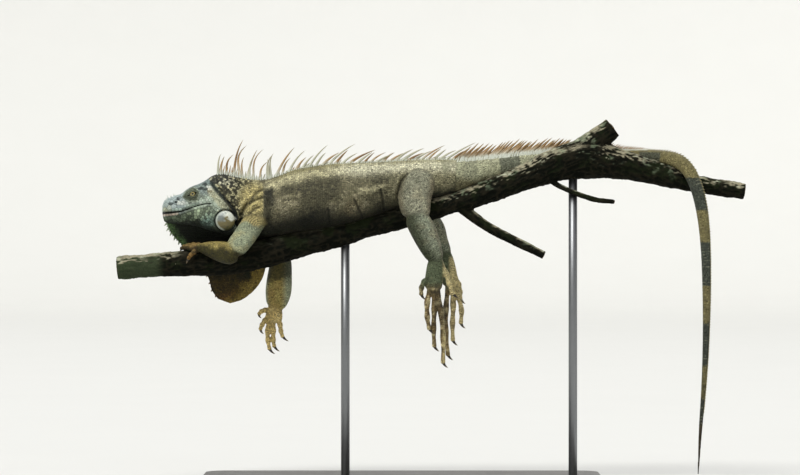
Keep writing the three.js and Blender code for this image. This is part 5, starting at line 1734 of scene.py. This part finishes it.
def perch():
    """The branch with its fork, side branch and twig, in fissured bark with moss and lichen."""
    wood = Flesh()
    for part, (rows, sides) in enumerate(((BRANCH, 96), (FORK, 72), (SIDE_BRANCH, 48), (TWIG, 32))):
        rings, run = tube_rings(rows, 3, sides)
        wood.add(rings, part, run)
    mesh = remeshed("perch", wood, BARK_VOXEL)
    edges = edges_of(mesh)
    p = firmed(points_of(mesh), edges, 3)
    set_points(mesh, p)
    n, bark = normals_of(mesh), wood.under(p)
    cut, core = sawn_ends(p, n, bark["along"])
    thin = np.array([1.0, 0.8, 0.35, 0.35])[bark["part"]]
    lie = np.stack([bark["run"] / 4.2, bark["around"], bark["part"] * 50.0], 1)
    ridge = 1 - 2 * np.abs(noise(lie, (2.4, 3.6, 9), 81))
    small_ridge = 1 - 2 * np.abs(noise(lie, (1.2, 1.7, 9), 83))
    knobs, flake = fractal(p, 26, 85), fractal(p, 6, 87, 2)
    move = thin * (1.7 * knobs + 0.85 * ridge + 0.45 * small_ridge + 0.5 * flake) * (1 - cut)
    for x, lift in KNOTS:
        y, z, radius = branch_at(x)
        d = np.linalg.norm(p - np.array([x, y - radius * 0.75, z + radius * 0.55]), axis=1)
        move += lift * bump(d, 0, 8) - 0.8 * lift * bump(d, 0, 3.2)
    under_body = (p[:, 0] > -345) & (p[:, 0] < 110) & (n[:, 2] > 0)
    p = p + n * np.where(under_body, np.minimum(move, 0.2), move)[:, None]
    set_points(mesh, p)
    store(mesh, "tint", bark_tint(p, normals_of(mesh), ridge, flake, cut, core))
    return softly_shaded("perch_bark", mesh)


# The stand and the stage


def base_plate():
    """A flat plate with round corners and softly turned edges."""
    length, width, thick, corner, edge = (BASE[k] for k in ("length", "width", "thickness", "corner", "edge"))
    turn = np.linspace(0, np.pi / 2, 5)
    profile = [(edge * (1 - math.sin(a)), edge * (1 - math.cos(a))) for a in turn]
    profile += [(inset, thick - z) for inset, z in profile[::-1]]
    points = []
    for inset, z in profile:
        for k, (sx, sy) in enumerate(((1, -1), (1, 1), (-1, 1), (-1, -1))):
            cx, cy, reach = sx * (length / 2 - corner), sy * (width / 2 - corner), corner - inset
            for a in np.linspace(0, np.pi / 2, 16) + (k - 1) * np.pi / 2:
                points.append((cx + reach * math.cos(a), cy + reach * math.sin(a), z))
    sides, total = len(points) // len(profile), len(points)
    ends = [list(range(sides))[::-1], list(range(total - sides, total))]
    ob = object_from("stand_plate", points, grid_faces(len(profile), sides).tolist() + ends)
    ob.data.polygons.foreach_set("use_smooth", [len(f.vertices) == 4 for f in ob.data.polygons])
    return ob


def lathed(profile, sides, x=0, y=0):
    """The points of a profile of radii and heights, turned about an upright axis."""
    angle = circle(sides)
    rings = [[(x + r * math.cos(a), y + r * math.sin(a), h) for a in angle] for r, h in profile]
    return np.array(rings).reshape(-1, 3)


def rod(name, x):
    y, z, radius = (float(v) for v in branch_at(x))
    low, high, wide = BASE["thickness"] + 0.3, z - radius * 0.4, ROD["radius"]
    profile = [(0.01, low), (wide - 0.5, low), (wide, low + 0.5), (wide, (low + high) / 2)]
    profile += [(wide, high), (0.01, high)]
    return object_from(name, lathed(profile, 64, x, y), grid_faces(len(profile), 64))


def grained_finish(name, stretch, grain, smoothest, strength, depth, **settings):
    """Grain drawn out along the wood or round the steel."""
    f = Finish(name, Roughness=0.42, **settings)
    grain = f.noise(f.node("Mapping", {"Vector": f.place(), "Scale": stretch})[0], *grain)
    f.set("Roughness", f.ranged(grain, 0.3, 0.7, smoothest, 0.5, "LINEAR"))
    f.set("Normal", f.bump(grain, strength, depth))
    return f, grain


def wood_finish():
    f, grain = grained_finish("stand_wood", (3.0, 42.0, 42.0), (3.2, 6.0, 0.6), 0.34, 0.25, 0.0004)
    f.set("Base Color", f.mixed(f.ranged(grain, 0.35, 0.68), srgb(38, 35, 32), srgb(60, 54, 48)))
    return f


def steel_finish():
    f, grain = grained_finish("stand_steel", (1.0, 1.0, 60.0), (60.0, 3.0), 0.38, 0.12, 0.0001, Metallic=1.0)
    f.set("Base Color", f.mixed(grain, srgb(124, 126, 128), srgb(142, 144, 146)))
    return f


def stage_floor():
    """A round pale floor that curves up far behind, alike from every side."""
    sides, reach, turn = 128, 12000, 5000
    profile = [(1, 0), (700, 0), (reach, 0)]
    for a in np.linspace(0, np.pi / 2, 14)[1:]:
        profile.append((reach + turn * math.sin(a), turn * (1 - math.cos(a))))
    profile.append((reach + turn, turn + 4000))
    points = lathed(profile, sides)
    points[:, 2] -= 0.2
    ob = object_from("floor", points, grid_faces(len(profile), sides).tolist() + [list(range(sides))])
    f = Finish("studio_floor", Roughness=0.9)
    f.set("Base Color", f.mixed(f.noise(f.place(), 3.0), srgb(214, 214, 211), srgb(217, 217, 214)))
    f.on(ob)
    ob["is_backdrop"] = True


def sun(name, towards, strength, degrees, colour=(1, 1, 1)):
    """Soft light from far off, falling along a direction, as wide as a great diffuser overhead."""
    data = bpy.data.lights.new(name, "SUN")
    data.energy, data.angle, data.color = strength, math.radians(degrees), colour
    ob = linked(name, data)
    ob.rotation_mode = "QUATERNION"
    ob.rotation_quaternion = Vector(towards).to_track_quat("-Z", "Y")


def studio():
    stage_floor()
    sun("key", (0.4, 0.6, -1), 2.6, 26, (1, 0.985, 0.95))
    sun("rim", (-0.3, -0.9, -0.75), 0.7, 24)
    world = bpy.data.worlds.new("studio")
    bpy.context.scene.world = world
    world.use_nodes = True
    world.node_tree.nodes["Background"].inputs["Color"].default_value = (0.95, 0.97, 1, 1)
    world.node_tree.nodes["Background"].inputs["Strength"].default_value = 0.52
    bpy.context.scene.view_settings.view_transform = "Standard"


# The camera stands level with the photo's middle, five metres off, with 1.5 mm to a pixel there.
CAMERA = {"x": -3, "y": -5000, "z": 367.75, "lens": 150, "sensor": 36}


def camera():
    data = bpy.data.cameras.new("camera")
    data.lens, data.sensor_width = CAMERA["lens"], CAMERA["sensor"]
    data.clip_start, data.clip_end = 0.1, 60
    ob = linked("camera", data)
    ob.location = (CAMERA["x"] * MM, CAMERA["y"] * MM, CAMERA["z"] * MM)
    ob.rotation_euler = (math.pi / 2, 0, 0)
    bpy.context.scene.camera = ob


def piece(ob, slot, *nodes):
    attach(ob, "root")
    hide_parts(*nodes)


def build():
    camera()
    studio()
    trunk = ["neck", "torso_front", "torso_rear"] + [f"tail_{k}" for k in range(1, 7)]
    parts = ("upper_arm", "forearm", "hand", "thigh", "shank", "foot")
    limbs = [f"{side}_{name}" for side in SIDES for name in parts]
    mesh, p, edges, skin = skin_mesh()
    store(mesh, "tint", skin_tint(p, normals_of(mesh), skin, edges))
    store(mesh, "lattice", skin_lattice(p, skin))
    store(mesh, "fleck", skin_fleck(p, skin["part"], fractal(p, 16, 73, 2)))
    calm = lerp(1.0, 0.35, fall(p[:, 0], -250, 30))
    store(mesh, "grain", relaxed(np.where(np.isin(skin["part"], BODY), calm, 1.0), edges, 4))
    piece(skin_finish().on(softly_shaded("iguana_skin", mesh)), "skin", "head", "dewlap", *trunk, *limbs)
    horn = tinted_finish("horn", 0.5, 0.0012, 0.3)
    piece(horn.on(crest()), "spine", *trunk)
    piece(horn.on(snout_horns()), "spine", "head")
    piece(horn.on(dewlap_spikes()), "spine", "dewlap")
    claw = tinted_finish("claw", 0.34, 0.002, 0.15)
    piece(claw.on(claws()), "claw", *[f"{side}_{name}" for side in SIDES for name in ("hand", "foot")])
    plate = tinted_finish("plate", 0.36, 0.003, 0.2, 0.1)
    for ob in shields():
        piece(plate.on(ob), "plate", "head")
    ball = eye_finish()
    for ob, side in zip(eyes(), SIDES):
        piece(ball.on(ob), "eye", f"eye_{side}")
    bark = tinted_finish("bark", 0.88, 0.0022, 0.9, 0.3, Specular_IOR_Level=0.06)
    piece(bark.on(perch()), "bark", "perch_branch", "perch_fork", "perch_side_branch", "perch_twig")
    piece(wood_finish().on(base_plate()), "stand", "stand_base")
    steel = steel_finish()
    for name, x in ROD["x"].items():
        piece(steel.on(rod(f"rod_{name}", x)), "rod", f"stand_rod_{name}")


build()
boxes = {"cad": cad_box, "visual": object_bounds()}
{name: [list(corner) for corner in box] for name, box in boxes.items()}
